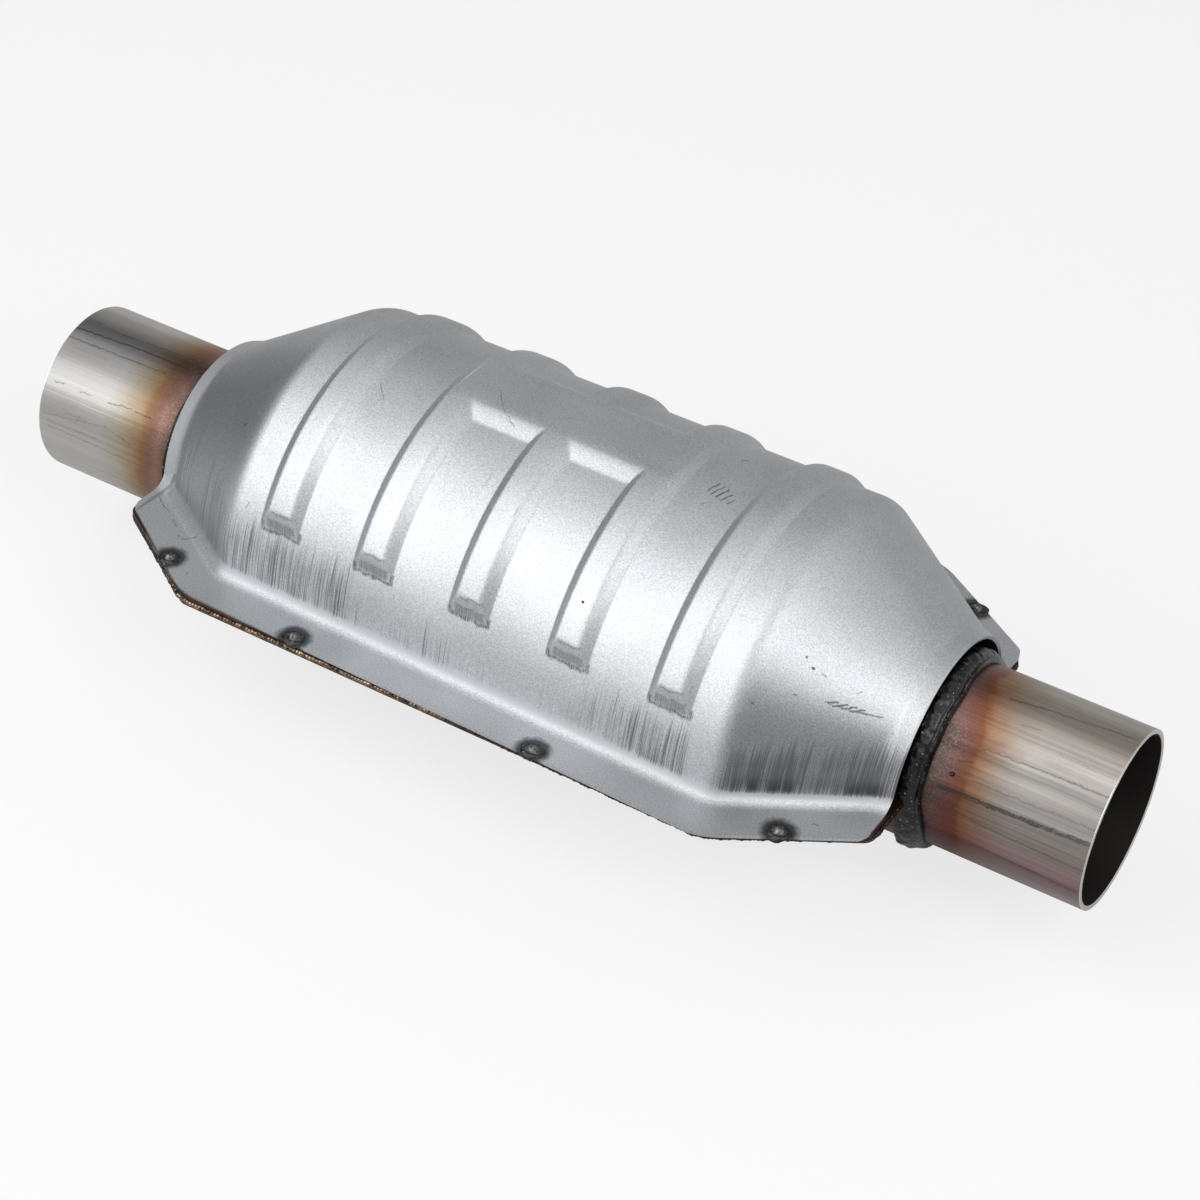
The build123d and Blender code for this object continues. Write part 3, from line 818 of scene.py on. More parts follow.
@dataclass
class HeatShield:
    """The ribbed pressing on top, with its flange, its wear and its tack welds."""

    sheet: float = 1.0
    radius: float = 62.7
    flange_top: float = 2.5
    flange_half_width: float = 78.0
    flange_corner_x: float = 93.7
    flange_end_half_width: float = 51.475
    flange_bend: float = 5.5
    rim_x: float = 133.81
    rim_radius: float = 35.575
    collar_x: float = 128.81
    collar_radius: float = 37.275
    collar_bend: float = 6.0
    shoulder_x: float = 88.9
    shoulder_bend: float = 10.0
    rib_pitch: float = 35.0
    rib_base: float = 14.4
    rib_crest: float = 7.6
    rib_height: float = 2.4
    rib_end_y: float = 57.9
    inlet_run: float = 2.5
    outlet_run: float = 3.7
    crown_half_width: float = 16.6
    crown_side_run: float = 5.6
    crown_centre_drop: float = 0.55
    soften: float = 1.3
    crease: float = 0.42
    widening: float = 0.000213
    skew: float = -0.007
    tack_x: Tuple[float, ...] = (-107.0, -51.5, 36.0, 112.3)
    tack_inset: float = 2.5
    tack_reach: float = 3.5
    tack_stretch: float = 1.1
    tack_height: float = 1.1
    tack_droop: float = 0.9
    crown_margin: float = 4.0
    # Zones of die streaks: from and to x, all there below z, gone above z, and how much
    die_zones: Tuple[Row, ...] = (
        (-134, -112, 22, 46, 0.74), (-112, -86, 18, 42, 0.76), (-96, -36, 15, 36, 0.95),
        (-50, 54, 8, 28, 0.58), (36, 66, 14, 34, 0.72), (54, 84, 15, 29, 0.98), (86, 140, 14, 28, 1.14))

    def columns(self) -> np.ndarray:
        """Stations along X, closest where the ribs, shoulders and collars bend.

        Returns:
            The stations, mm from the middle.
        """
        offsets = np.array([0, 1.6, 2.8, 3.3, 3.7, 4.1, 4.6, 5.2, 5.8, 6.4, 6.8, 7.1, 7.35, 7.7, 8.4])
        rib = np.concatenate([-offsets[:0:-1], offsets])
        ribs = [rib + centre * self.rib_pitch for centre in (-2, -1, 0, 1, 2)]
        gaps = [np.linspace(-26.6, -8.4, 8)[1:-1] + centre * self.rib_pitch for centre in (-1, 0, 1, 2)]
        end = np.concatenate([np.linspace(78.4, 85.5, 5)[1:], np.linspace(85.5, 92.3, 12)[1:],
                              np.linspace(92.3, 126.5, 13)[1:], np.linspace(126.5, 131.2, 9)[1:],
                              np.linspace(131.2, self.rim_x, 8)[1:]])
        return np.sort(np.concatenate([-end, *ribs, *gaps, end]))

    def arch_angles(self, foot: float) -> np.ndarray:
        """Angles round the arch from its foot to the top, closest at the rib ends and the crown's edge.

        Args:
            foot: Angle at which the arch leaves the bend, degrees.

        Returns:
            The angles, degrees.
        """
        parts = [np.linspace(foot, 21.8, 9)[:-1], np.linspace(21.8, 28.6, 22)[:-1],
                 np.linspace(28.6, 73.8, 18)[:-1], np.linspace(73.8, 80.2, 17)[:-1],
                 np.linspace(80.2, 90.0, 6)]
        return np.concatenate(parts)

    def lean(self, points: Points) -> Points:
        """Widen and skew the pressing a little, as the photographed one sits on its body.

        Args:
            points: Points of the pressing, mm.

        Returns:
            The same points, moved.
        """
        x, y = points[..., 0], points[..., 1]
        return np.stack([x - self.skew * y, y * (1 + self.widening * x) + self.skew * x,
                         points[..., 2]], -1)

    def section(self, x: np.ndarray) -> Points:
        """Outer surface of the plain pressing, before its ribs.

        Args:
            x: Stations along X.

        Returns:
            The grid of points, rows across by stations.
        """
        half = [(self.shoulder_x, self.radius, self.shoulder_bend),
                (self.collar_x, self.collar_radius, self.collar_bend), (self.rim_x, self.rim_radius, 0.0)]
        radius = outline_radius([(-a, r, b) for a, r, b in reversed(half)] + half, x)
        edge = np.array([self.edge_y(value) for value in x])
        edge -= 0.55 * np.exp(-(np.abs(x) - self.flange_corner_x) ** 2 / 6.0)
        edge -= 3.2 * ease(np.abs(x), self.rim_x - 2.2, self.rim_x + 0.6) ** 2
        centre_z = self.flange_top + self.flange_bend
        centre_y = np.sqrt((radius + self.flange_bend) ** 2 - centre_z ** 2)
        meet = np.arctan2(centre_z, centre_y)
        rows = []
        for t in (0.0, 0.06, 0.3, 0.6, 0.85):
            rows.append((-(edge + (centre_y - edge) * t), np.full_like(x, self.flange_top)))
        for t in np.linspace(0, 1, 10)[:-1]:
            turn = (np.pi / 2 - meet) * t
            rows.append((-(centre_y - self.flange_bend * np.sin(turn)),
                         centre_z - self.flange_bend * np.cos(turn)))
        foot = float(np.degrees(np.arctan2(centre_z, math.sqrt((self.radius + self.flange_bend) ** 2
                                                              - centre_z ** 2))))
        share = (self.arch_angles(foot) - foot) / (90.0 - foot)
        for t in share:
            angle = meet + (np.pi / 2 - meet) * t
            rows.append((-radius * np.cos(angle), radius * np.sin(angle)))
        rows += [(-y, z) for y, z in rows[:-1][::-1]]
        return np.array([np.stack([x, y, z], -1) for y, z in rows])

    def press_tree(self) -> Tree:
        """Geometry Nodes tree that presses the ribs and the crown out of the plain sheet.

        Returns:
            The node group.
        """
        sizes = {
            "Rib pitch": self.rib_pitch, "Rib base": self.rib_base, "Rib crest": self.rib_crest,
            "Rib height": self.rib_height, "Rib end": self.rib_end_y,
            "Inlet run": self.inlet_run, "Outlet run": self.outlet_run,
            "Crown half width": self.crown_half_width, "Crown side run": self.crown_side_run,
            "Crown centre drop": self.crown_centre_drop, "Soften": self.soften, "Crease": self.crease}
        tree, enter = node_group("press_ribs", sizes)
        (pitch, base, crest, high, end_y, inlet_run, outlet_run, crown_half, crown_run, drop, soften,
         crease) = (enter[label] for label in sizes)
        position = add(tree, "GeometryNodeInputPosition")
        in_mm = add(tree, STRETCH, {0: position, "Scale": 1 / MM})
        parts = add(tree, "ShaderNodeSeparateXYZ", (in_mm,)).node.outputs
        x = add(tree, MINUS, (parts[0], MIDDLE_X))
        far = add(tree, SIZE, (x,))
        wide = add(tree, SIZE, (parts[1],))
        ring = add(tree, "ShaderNodeCombineXYZ", {1: parts[1], 2: parts[2]})
        radius = add(tree, LENGTH, (ring,), out="Value")
        # Distance from the middle of the nearest of the five ribs
        nearest = add(tree, NEAREST, (add(tree, OVER, (x, pitch)),))
        index = add(tree, LEAST, (add(tree, MOST, (nearest, -2.0)), 2.0))
        offset = add(tree, MINUS, (x, add(tree, TIMES, (index, pitch))))
        # Height that each slope allows: a rib's flanks, the steeper one to the inlet, and its upright end
        half = add(tree, TIMES, (base, 0.5))
        flanks = []
        for kind, run in ((PLUS, inlet_run), (MINUS, outlet_run)):
            scaled = add(tree, TIMES, (add(tree, kind, (half, offset)), high))
            flanks.append(add(tree, OVER, (scaled, run)))
        outward = add(tree, OVER, (radius, add(tree, MOST, (wide, 1.0))))
        upright = add(tree, MINUS, (add(tree, TIMES, (outward, end_y)), radius))
        # The same for the crown's ends and sides. It is flatter across, so its middle is a little lower
        slope = add(tree, TIMES, (add(tree, OVER, (high, add(tree, MINUS, (base, crest)))), 2.0))
        reach = add(tree, PLUS, (half, pitch))
        crown_end = add(tree, TIMES, (add(tree, MINUS, (reach, far)), slope))
        side_slope = add(tree, OVER, (high, crown_run))
        crown_side = add(tree, TIMES, (add(tree, MINUS, (crown_half, wide)), side_slope))
        flat_half = add(tree, MINUS, (crown_half, crown_run))
        across = add(tree, LEAST, (add(tree, OVER, (wide, flat_half)), 1.0))
        flat = add(tree, MINUS, (1.0, add(tree, TIMES, (across, across))))
        crown_top = add(tree, MINUS, (high, add(tree, TIMES, (flat, drop))))
        heights = []
        for first, second, top in ((largest(tree, flanks, LEAST), upright, high),
                                   (crown_end, crown_side, crown_top)):
            lower = add(tree, SOFT_LEAST, (first, second, crease))
            heights.append(add(tree, SOFT_LEAST, (lower, top, soften)))
        rib, crown = heights
        # The three ribs that the crown joins stand no higher than it does
        held = add(tree, LEAST, (rib, crown_top))
        inside = add(tree, BELOW, (far, add(tree, PLUS, (pitch, self.crown_margin))))
        outside = add(tree, MINUS, (1.0, inside))
        ribs = add(tree, PLUS, (add(tree, TIMES, (held, inside)), add(tree, TIMES, (rib, outside))))
        joined = add(tree, SOFT_MOST, (ribs, crown, crease))
        above = add(tree, SOFT_MOST, (joined, 0.0, crease))
        arch = add(tree, "GeometryNodeInputNamedAttribute", {"Name": "arch"}, data_type="FLOAT")
        raised = add(tree, TIMES, (add(tree, TIMES, (above, arch)), MM))
        lift = add(tree, STRETCH, {0: add(tree, UNIT, (ring,)), "Scale": raised})
        pressed = add(tree, "GeometryNodeSetPosition", {"Geometry": enter["Geometry"], "Offset": lift})
        close_group(tree, pressed, enter["Material"])
        return tree

    def wear_and_shade(self, grid: Points) -> Dict[str, np.ndarray]:
        """How much the die scuffed and rubbed each point of the sheet, and how much painted shade it gets.

        Args:
            grid: Points of the plain sheet.

        Returns:
            Attribute name to values.
        """
        x, z = grid[..., 0], grid[..., 2]
        side = np.abs(grid[..., 1])
        draw = np.zeros_like(x)
        for x0, x1, full, top, strength in self.die_zones:
            along = ease(x, x0, x0 + 7) * (1 - ease(x, x1 - 7, x1))
            draw = np.maximum(draw, strength * along * (1 - ease(z, full, top)))
        draw += 0.6 * ease(x, 88, 96) * (1 - ease(z, 6.5, 12.0)) * (1 - ease(x, 128, 134))
        draw *= ease(z, 4.4, 6.4)
        # The rubbed, rougher bend and collar, which also get painted shade in the material
        bend_z = self.flange_top + 2.6
        polish = np.exp(-((z - bend_z) / 1.5) ** 2) * (side > 30) * ease(z, 2.6, 3.3)
        polish *= 0.35 + 0.65 * (1 - ease(np.abs(x), self.flange_corner_x - 6, self.flange_corner_x + 2)
                                 * (x < 0))
        # Painted shade: darker low on the outlet cone, on the inlet cone, and on the flange low down from x
        # 40 to 100 mm
        angle = np.degrees(np.arctan2(z, side))
        dull = np.maximum(0.42 * ease(x, 87, 93) * (1 - ease(angle, 30, 50)) * ease(z, 5, 9),
                          0.24 * ease(-x, 88, 96) * (1 - ease(angle, 55, 80)) * ease(z, 3.2, 6))
        dull = np.maximum(dull, 0.13 * ease(x, 40, 70) * (1 - ease(x, 94, 104)) * (1 - ease(z, 2.8, 4.2)))
        dull *= 1 - ease(np.abs(x), self.collar_x - 3, self.collar_x)
        collar = ease(-x, self.collar_x - 1.5, self.collar_x + 0.8) + ease(x, self.rim_x - 0.9, self.rim_x)
        return {"draw_wear": draw, "dull": dull, "polish": np.maximum(polish, 0.7 * collar * (z > 9))}

    def edge_y(self, x: float) -> float:
        """Half width of the flange at a distance x from the middle, before it leans.

        Args:
            x: Distance from the middle, mm.

        Returns:
            The half width, mm.
        """
        beyond = max(abs(x) - self.flange_corner_x, 0)
        fall = (self.flange_half_width - self.flange_end_half_width) / (self.rim_x - self.flange_corner_x)
        return self.flange_half_width - beyond * fall

    def tack_points(self, side: Side) -> List[Tuple[float, float]]:
        """Middle of each tack weld on one side, in plan."""
        flat = np.array([[x, side.value * (self.edge_y(x) - self.tack_inset), 0.0] for x in self.tack_x])
        return [(float(p[0]), float(p[1])) for p in self.lean(flat)]

    def build(self, material: Material) -> Piece:
        """Make the sheet, press it, give it its thickness and lean it.

        Args:
            material: Its finish.

        Returns:
            The piece.
        """
        grid = self.section(self.columns())
        rows, columns = grid.shape[:2]
        piece = mesh_object("heat_shield", grid.reshape(-1, 3), grid_faces(rows, columns))
        for name, numbers in self.wear_and_shade(grid).items():
            set_attribute(piece, name, numbers)
        set_attribute(piece, "arch", ease(grid[..., 2], 8.0, 10.0))
        grow(piece, self.press_tree(), {"Material": material})
        wall = piece.modifiers.new("wall", "SOLIDIFY")
        wall.thickness = self.sheet * MM
        wall.offset = -1.0
        wall.use_even_offset = True
        settle(piece)
        count = len(piece.data.vertices)
        flat = np.zeros(count * 3)
        piece.data.vertices.foreach_get("co", flat)
        points = flat.reshape(-1, 3) / MM - [MIDDLE_X, 0, 0]
        moved = (self.lean(points) + [MIDDLE_X, 0, 0]) * MM
        piece.data.vertices.foreach_set("co", moved.reshape(-1))
        piece.data.update()
        smooth(piece, 42.0)
        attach(piece, BODY)
        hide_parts("upper_heat_shield")
        return piece

    def build_tacks(self, side: Side, material: Material) -> List[Piece]:
        """Tack welds of one side: a cratered lump on the flange that runs down over its edge.

        Args:
            side: Which side.
            material: Their finish.

        Returns:
            The four pieces.
        """
        pieces = []
        turns, rings = 28, 9
        angle = full_turn(turns)
        for number, (x, y) in enumerate(self.tack_points(side), start=1):
            seed = 200 + number + (10 if side is Side.FAR else 0)
            rows = []
            for t in np.linspace(1, 0.08, rings):
                reach = self.tack_reach * t * (1 + 0.07 * wander(angle, seed, (2, 3, 5)))
                crater = 0.75 * math.exp(-((t - 0.52) / 0.17) ** 2) - 0.5 * (1 - t) ** 2
                height = self.tack_height * (1 - t ** 2.6) - crater
                lump = height * (1 + 0.16 * wander(angle, seed + 50, (3, 4, 7))) + 0.02
                rows.append(np.stack([x + self.tack_stretch * reach * np.cos(angle),
                                      y + reach * np.sin(angle), self.flange_top + lump], -1))
            top = np.array(rows)
            over = np.clip((side.value * top[..., 1] - abs(y) - self.tack_inset * 0.95) / 1.0, 0, 1)
            top[..., 2] -= over * self.tack_droop
            base = top[:1].copy()
            base[..., 2] = np.minimum(base[..., 2] - 0.5, self.flange_top - 0.35)
            grid = np.vstack([base, top])
            faces = grid_faces(rings + 1, turns, wrap_columns=True)
            faces += [tuple(range(turns))[::-1], tuple(rings * turns + i for i in range(turns))]
            name = f"{side.name.lower()}_tack_{number}"
            piece = mesh_object(name, grid.reshape(-1, 3), faces, material)
            swirl = 1 - np.abs(np.linspace(1, 0.08, rings) - 0.3) * 2
            set_attribute(piece, "lip", np.repeat(np.concatenate([[0.9], swirl])[:, None], turns, 1))
            smooth(piece, 60.0)
            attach(piece, BODY)
            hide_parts(f"{side.name.lower()}_tack_weld_{number}")
            pieces.append(piece)
        return pieces


@dataclass
class PipeStub:
    """One tube end, with its cut rim and its weld bead."""

    end: End
    bead_length: float
    radius: float = 28.575
    wall: float = 1.5
    inner_x: float = 119.76
    mouth_x: float = 190.559
    bead_start: float = 132.6
    bead_root: float = 134.31
    bead_height: float = 3.3
    turns: int = 192

    def ring(self, x: np.ndarray, radius: np.ndarray) -> Points:
        """Turn a closed profile about X, on this stub's end.

        Args:
            x: Distance from the middle of each profile point, rows by turns.
            radius: Radius of each, rows by turns.

        Returns:
            The grid of points.
        """
        angle = full_turn(x.shape[1])[None, :]
        return np.stack([self.end.value * x, -radius * np.cos(angle), radius * np.sin(angle)], -1)

    def closed(self, name: str, grid: Points, material: Material) -> Piece:
        """A closed ring-shaped piece from a turned profile, facing outwards.

        Args:
            name: The piece's name.
            grid: Its profile at each turn.
            material: Its finish.

        Returns:
            The piece.
        """
        faces = grid_faces(*grid.shape[:2], wrap_rows=True, wrap_columns=True)
        if self.end is End.OUTLET:
            faces = [f[::-1] for f in faces]
        piece = mesh_object(name, grid.reshape(-1, 3), faces, material)
        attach(piece, BODY)
        return piece

    def build_tube(self, material: Material) -> Piece:
        """The tube, slightly out of round, with a sawn rim and its burrs.

        Args:
            material: Its finish.

        Returns:
            The piece.
        """
        angle = full_turn(self.turns)
        length = self.mouth_x - self.inner_x
        along = np.concatenate([np.linspace(0, 0.985, 40), np.linspace(0.985, 1.0, 5)[1:]])
        outer = [(self.inner_x + length * t, self.radius) for t in along[:-1]]
        rim = [(self.mouth_x - 0.15, self.radius), (self.mouth_x, self.radius - 0.18),
               (self.mouth_x, self.radius - self.wall + 0.25), (self.mouth_x - 0.2, self.radius - self.wall)]
        inner = [(x, self.radius - self.wall) for x, _ in outer[::-1]]
        profile = np.array(outer + rim + inner)
        x = np.repeat(profile[:, :1], self.turns, 1)
        radius = np.repeat(profile[:, 1:], self.turns, 1)
        radius += 0.06 * wander(angle, 11 + self.end.value, (2, 3, 5))[None, :] * ease(x, 150, 190)
        rough_cut = 0.05 * wander(angle, 17 + self.end.value, (31, 53, 71))
        x[len(outer) + 1:len(outer) + 3] -= np.abs(rough_cut)[None, :]
        name = self.end.name.lower()
        piece = self.closed(f"{name}_tube", self.ring(x, radius), material)
        smooth(piece, 30.0)
        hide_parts(f"{name}_pipe")
        return piece

    def build_bead(self, material: Material) -> Piece:
        """The slag-covered bead, with a wavy lip, lumps and a flare low on the near side.

        Args:
            material: Its finish.

        Returns:
            The piece.
        """
        turns = self.turns * 2
        angle = full_turn(turns)
        seed = 40 + self.end.value
        low = np.exp(-((np.angle(np.exp(1j * (angle + 0.42)))) / 0.36) ** 2)
        flare = low if self.end is End.OUTLET else 0.3 * low
        toe = self.bead_root + self.bead_length + 0.38 * wander(angle, seed, (2, 3, 5, 8, 13)) + 2.1 * flare
        floor = self.radius + 0.03
        rows = 22
        t = np.linspace(0, 1, rows)[:, None]
        x = self.bead_start + (toe[None, :] - self.bead_start) * t
        height = self.bead_height * (1 + 0.3 * flare[None, :]) * np.clip(1 - t ** 2.6, 0, 1) ** 0.5
        # A groove and then a rolled lip run along the toe
        roll = 0.62 * np.exp(-((t - 0.9) / 0.055) ** 2) - 0.45 * np.exp(-((t - 0.77) / 0.07) ** 2)
        lumps = 0.16 * (wander(angle, seed + 3, (17, 29, 41, 57))[None, :] * np.sin(np.pi * t)
                        + wander(angle, seed + 4, (23, 37, 61))[None, :] * np.sin(2 * np.pi * t)
                        + wander(angle, seed + 5, (19, 47, 83))[None, :] * np.sin(3 * np.pi * t))
        lumps *= 1 + 0.4 * flare[None, :]
        radius = floor + np.maximum(height + roll * (t < 0.985) + lumps * (1 - t ** 4), 0.0)
        radius[0] = floor + 2.2
        radius[-1] = floor + 0.12
        seat_x = np.stack([toe - 0.1, np.full_like(toe, self.bead_start)])
        seat_r = np.full((2, turns), floor - 0.02)
        name = self.end.name.lower()
        grid = self.ring(np.vstack([x, seat_x]), np.vstack([radius, seat_r]))
        piece = self.closed(f"{name}_bead", grid, material)
        lip = np.exp(-((t - 0.93) / 0.07) ** 2) * np.ones((1, turns)) + 0.35 * flare[None, :]
        set_attribute(piece, "lip", np.vstack([lip, np.zeros((2, turns))]))
        smooth(piece, 75.0)
        if self.end is End.OUTLET:
            self.add_spatter(piece)
        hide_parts(f"{name}_pipe_weld")
        return piece

    def add_spatter(self, piece: Piece) -> None:
        """Join the one ball of weld spatter that sits on the tube.

        Args:
            piece: The bead that the ball is joined to.
        """
        ball_x, ball_angle, ball_radius = 145.7, math.radians(27.3), 0.75
        centre = Vector((MIDDLE_X + ball_x, -(self.radius + 0.3) * math.cos(ball_angle),
                         (self.radius + 0.3) * math.sin(ball_angle))) * MM
        mesh = bpy.data.meshes.new("spatter")
        shape = bmesh.new()
        bmesh.ops.create_icosphere(shape, subdivisions=2, radius=ball_radius * MM)
        bmesh.ops.translate(shape, verts=shape.verts, vec=centre)
        shape.to_mesh(mesh)
        shape.free()
        both = bmesh.new()
        both.from_mesh(piece.data)
        both.from_mesh(mesh)
        both.to_mesh(piece.data)
        both.free()
        bpy.data.meshes.remove(mesh)
        smooth(piece, 75.0)


@dataclass
class SeamWeld:
    """Edge weld along one side of the body's flange, laid as overlapping ripples."""

    side: Side
    half_width: float = 76.8
    corner_x: float = 93.1
    end_x: float = 134.31
    end_half_width: float = 50.2
    start_y: float = 32.2
    out: float = 0.12
    pitch: float = 1.2
    ripple: Tuple[float, float, float] = (1.15, 0.75, 0.85)
    stray: float = 0.9
    stray_from_y: float = 40.0

    def path(self) -> List[Tuple[float, float]]:
        """Plan of the bead's centre line, from the inlet's neck to the outlet's.

        Returns:
            Its corners, mm.
        """
        far, wide = self.end_x + self.out, self.half_width + self.out
        end_wide = self.end_half_width + self.out
        half = [(far, self.start_y), (far, end_wide - 3.2), (far - 2.2, end_wide + 0.8),
                (self.corner_x + 2.4, wide - 1.4), (self.corner_x - 2.6, wide)]
        outlet_half = [(x, y + self.stray * (y > self.stray_from_y)) for x, y in half[::-1]]
        line = [(-x, y) for x, y in half] + [(0.0, wide)] + outlet_half
        return [(x, self.side.value * y) for x, y in line]

    def ripple_tree(self) -> Tree:
        """Geometry Nodes tree that lays small lens-shaped ripples along the path.

        Returns:
            The node group.
        """
        tree, enter = node_group("weld_ripples", {"Ripple pitch": self.pitch * MM, "Unevenness": 0.22})
        curve = add(tree, "GeometryNodeMeshToCurve", {"Mesh": enter["Geometry"]})
        points = add(tree, "GeometryNodeResampleCurve", {"Curve": curve, "Length": enter["Ripple pitch"]},
                     mode="LENGTH")
        tangent = add(tree, "GeometryNodeInputTangent")
        turned = add(tree, "FunctionNodeAlignRotationToVector", {"Vector": tangent}, axis="X",
                     pivot_axis="Z")
        ball = add(tree, "GeometryNodeMeshUVSphere", {"Segments": 8, "Rings": 5, "Radius": 1.0})
        low = add(tree, MINUS, (1.0, enter["Unevenness"]))
        high = add(tree, PLUS, (1.0, enter["Unevenness"]))
        wild = add(tree, "FunctionNodeRandomValue", {2: low, 3: high, "Seed": 5}, out=1, data_type="FLOAT")
        size = add(tree, STRETCH, {0: tuple(s * MM for s in self.ripple), "Scale": wild})
        laid = add(tree, "GeometryNodeInstanceOnPoints", {"Points": points, "Instance": ball,
                                                          "Rotation": turned, "Scale": size})
        close_group(tree, laid, enter["Material"])
        return tree

    def build(self, material: Material) -> Piece:
        """Lay the bead.

        Args:
            material: Its finish.

        Returns:
            The piece.
        """
        line = [(x, y, 0.0) for x, y in self.path()]
        name = self.side.name.lower()
        edges = [(i, i + 1) for i in range(len(line) - 1)]
        piece = mesh_object(f"{name}_seam", np.array(line), [], edges=edges)
        grow(piece, self.ripple_tree(), {"Material": material})
        settle(piece)
        smooth(piece, 60.0)
        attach(piece, BODY)
        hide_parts(f"{name}_seam_weld")
        return piece


@dataclass
class CatalystBrick:
    """One ceramic honeycomb brick with its fine square cells and its skin."""

    end: End
    radius: float = 46.5
    skin: float = 2.7
    skin_proud: float = 0.02
    start: float = 6.0
    length: float = 76.2
    pitch: float = 1.9
    opening: float = 1.5
    parting: float = 0.005
    turns: int = 128

    def cell(self) -> Piece:
        """One hollow cell, drawn from x = 0, to be repeated.

        Returns:
            The cell, which is removed once the brick is built.
        """
        points, faces = [], []
        for half in (self.pitch / 2 - self.parting, self.opening / 2):
            for x in (0.0, self.length):
                points += [(x, y, z) for y, z in ((-half, -half), (half, -half), (half, half), (-half, half))]
        for i in range(4):
            j = (i + 1) % 4
            faces += [(i, i + 4, j + 4, j), (i + 8, j + 8, j + 12, i + 12),
                      (i, j, j + 8, i + 8), (i + 4, i + 12, j + 12, j + 4)]
        mesh = bpy.data.meshes.new("cell")
        mesh.from_pydata((np.array(points) * MM).tolist(), [], [f[::-1] for f in faces])
        shape = bpy.data.objects.new("cell", mesh)
        bpy.context.scene.collection.objects.link(shape)
        return shape

    def cell_tree(self) -> Tree:
        """Geometry Nodes tree that puts a cell on each marked point inside the skin.

        Returns:
            The node group.
        """
        tree, enter = node_group("honeycomb", {"Cell size": 1.0})
        tree.interface.new_socket("Cell", in_out="INPUT", socket_type="NodeSocketObject")
        enter = enter["Geometry"].node.outputs
        marked = add(tree, "GeometryNodeInputNamedAttribute", {"Name": "cell_place"}, data_type="FLOAT")
        here = add(tree, "FunctionNodeCompare", (marked, 0.5), data_type="FLOAT",
                   operation="GREATER_THAN")
        shape = add(tree, "GeometryNodeObjectInfo", {"Object": enter["Cell"]}, out="Geometry")
        laid = add(tree, "GeometryNodeInstanceOnPoints", {"Points": enter["Geometry"], "Selection": here,
                                                          "Instance": shape, "Scale": enter["Cell size"]})
        skin = add(tree, "GeometryNodeDeleteGeometry", {"Geometry": enter["Geometry"], "Selection": here})
        both = add(tree, "GeometryNodeJoinGeometry", (skin,))
        tree.links.new(laid, both.node.inputs[0])
        close_group(tree, both, enter["Material"])
        return tree

    def build(self, material: Material) -> Piece:
        """Make the skin and fill it with cells.

        Args:
            material: Its finish.

        Returns:
            The piece.
        """
        low = self.start if self.end is End.OUTLET else -self.start - self.length
        angle = full_turn(self.turns)
        high, inner, edge = low + self.length, self.radius - self.skin, self.radius - 0.4
        profile = [(low - self.skin_proud, inner), (low - self.skin_proud, edge), (low + 0.3, self.radius),
                   (high - 0.3, self.radius), (high + self.skin_proud, edge),
                   (high + self.skin_proud, inner)]
        ring = np.array([[(x, r * math.cos(a), r * math.sin(a)) for a in angle] for x, r in profile])
        faces = grid_faces(*ring.shape[:2], wrap_rows=True, wrap_columns=True)
        steps = np.arange(-24, 25) * self.pitch
        places = [(low, y, z) for y in steps for z in steps
                  if math.hypot(abs(y) + self.pitch / 2, abs(z) + self.pitch / 2) < self.radius - 0.3]
        points = np.vstack([ring.reshape(-1, 3), places])
        name = "rear" if self.end is End.OUTLET else "front"
        piece = mesh_object(f"{name}_honeycomb", points, faces)
        set_attribute(piece, "cell_place", np.arange(len(points)) >= self.turns * len(profile))
        shape = self.cell()
        grow(piece, self.cell_tree(), {"Material": material, "Cell": shape})
        settle(piece)
        bpy.data.meshes.remove(shape.data)
        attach(piece, BODY)
        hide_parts(f"{name}_catalyst_brick")
        return piece


# Camera, light and floor


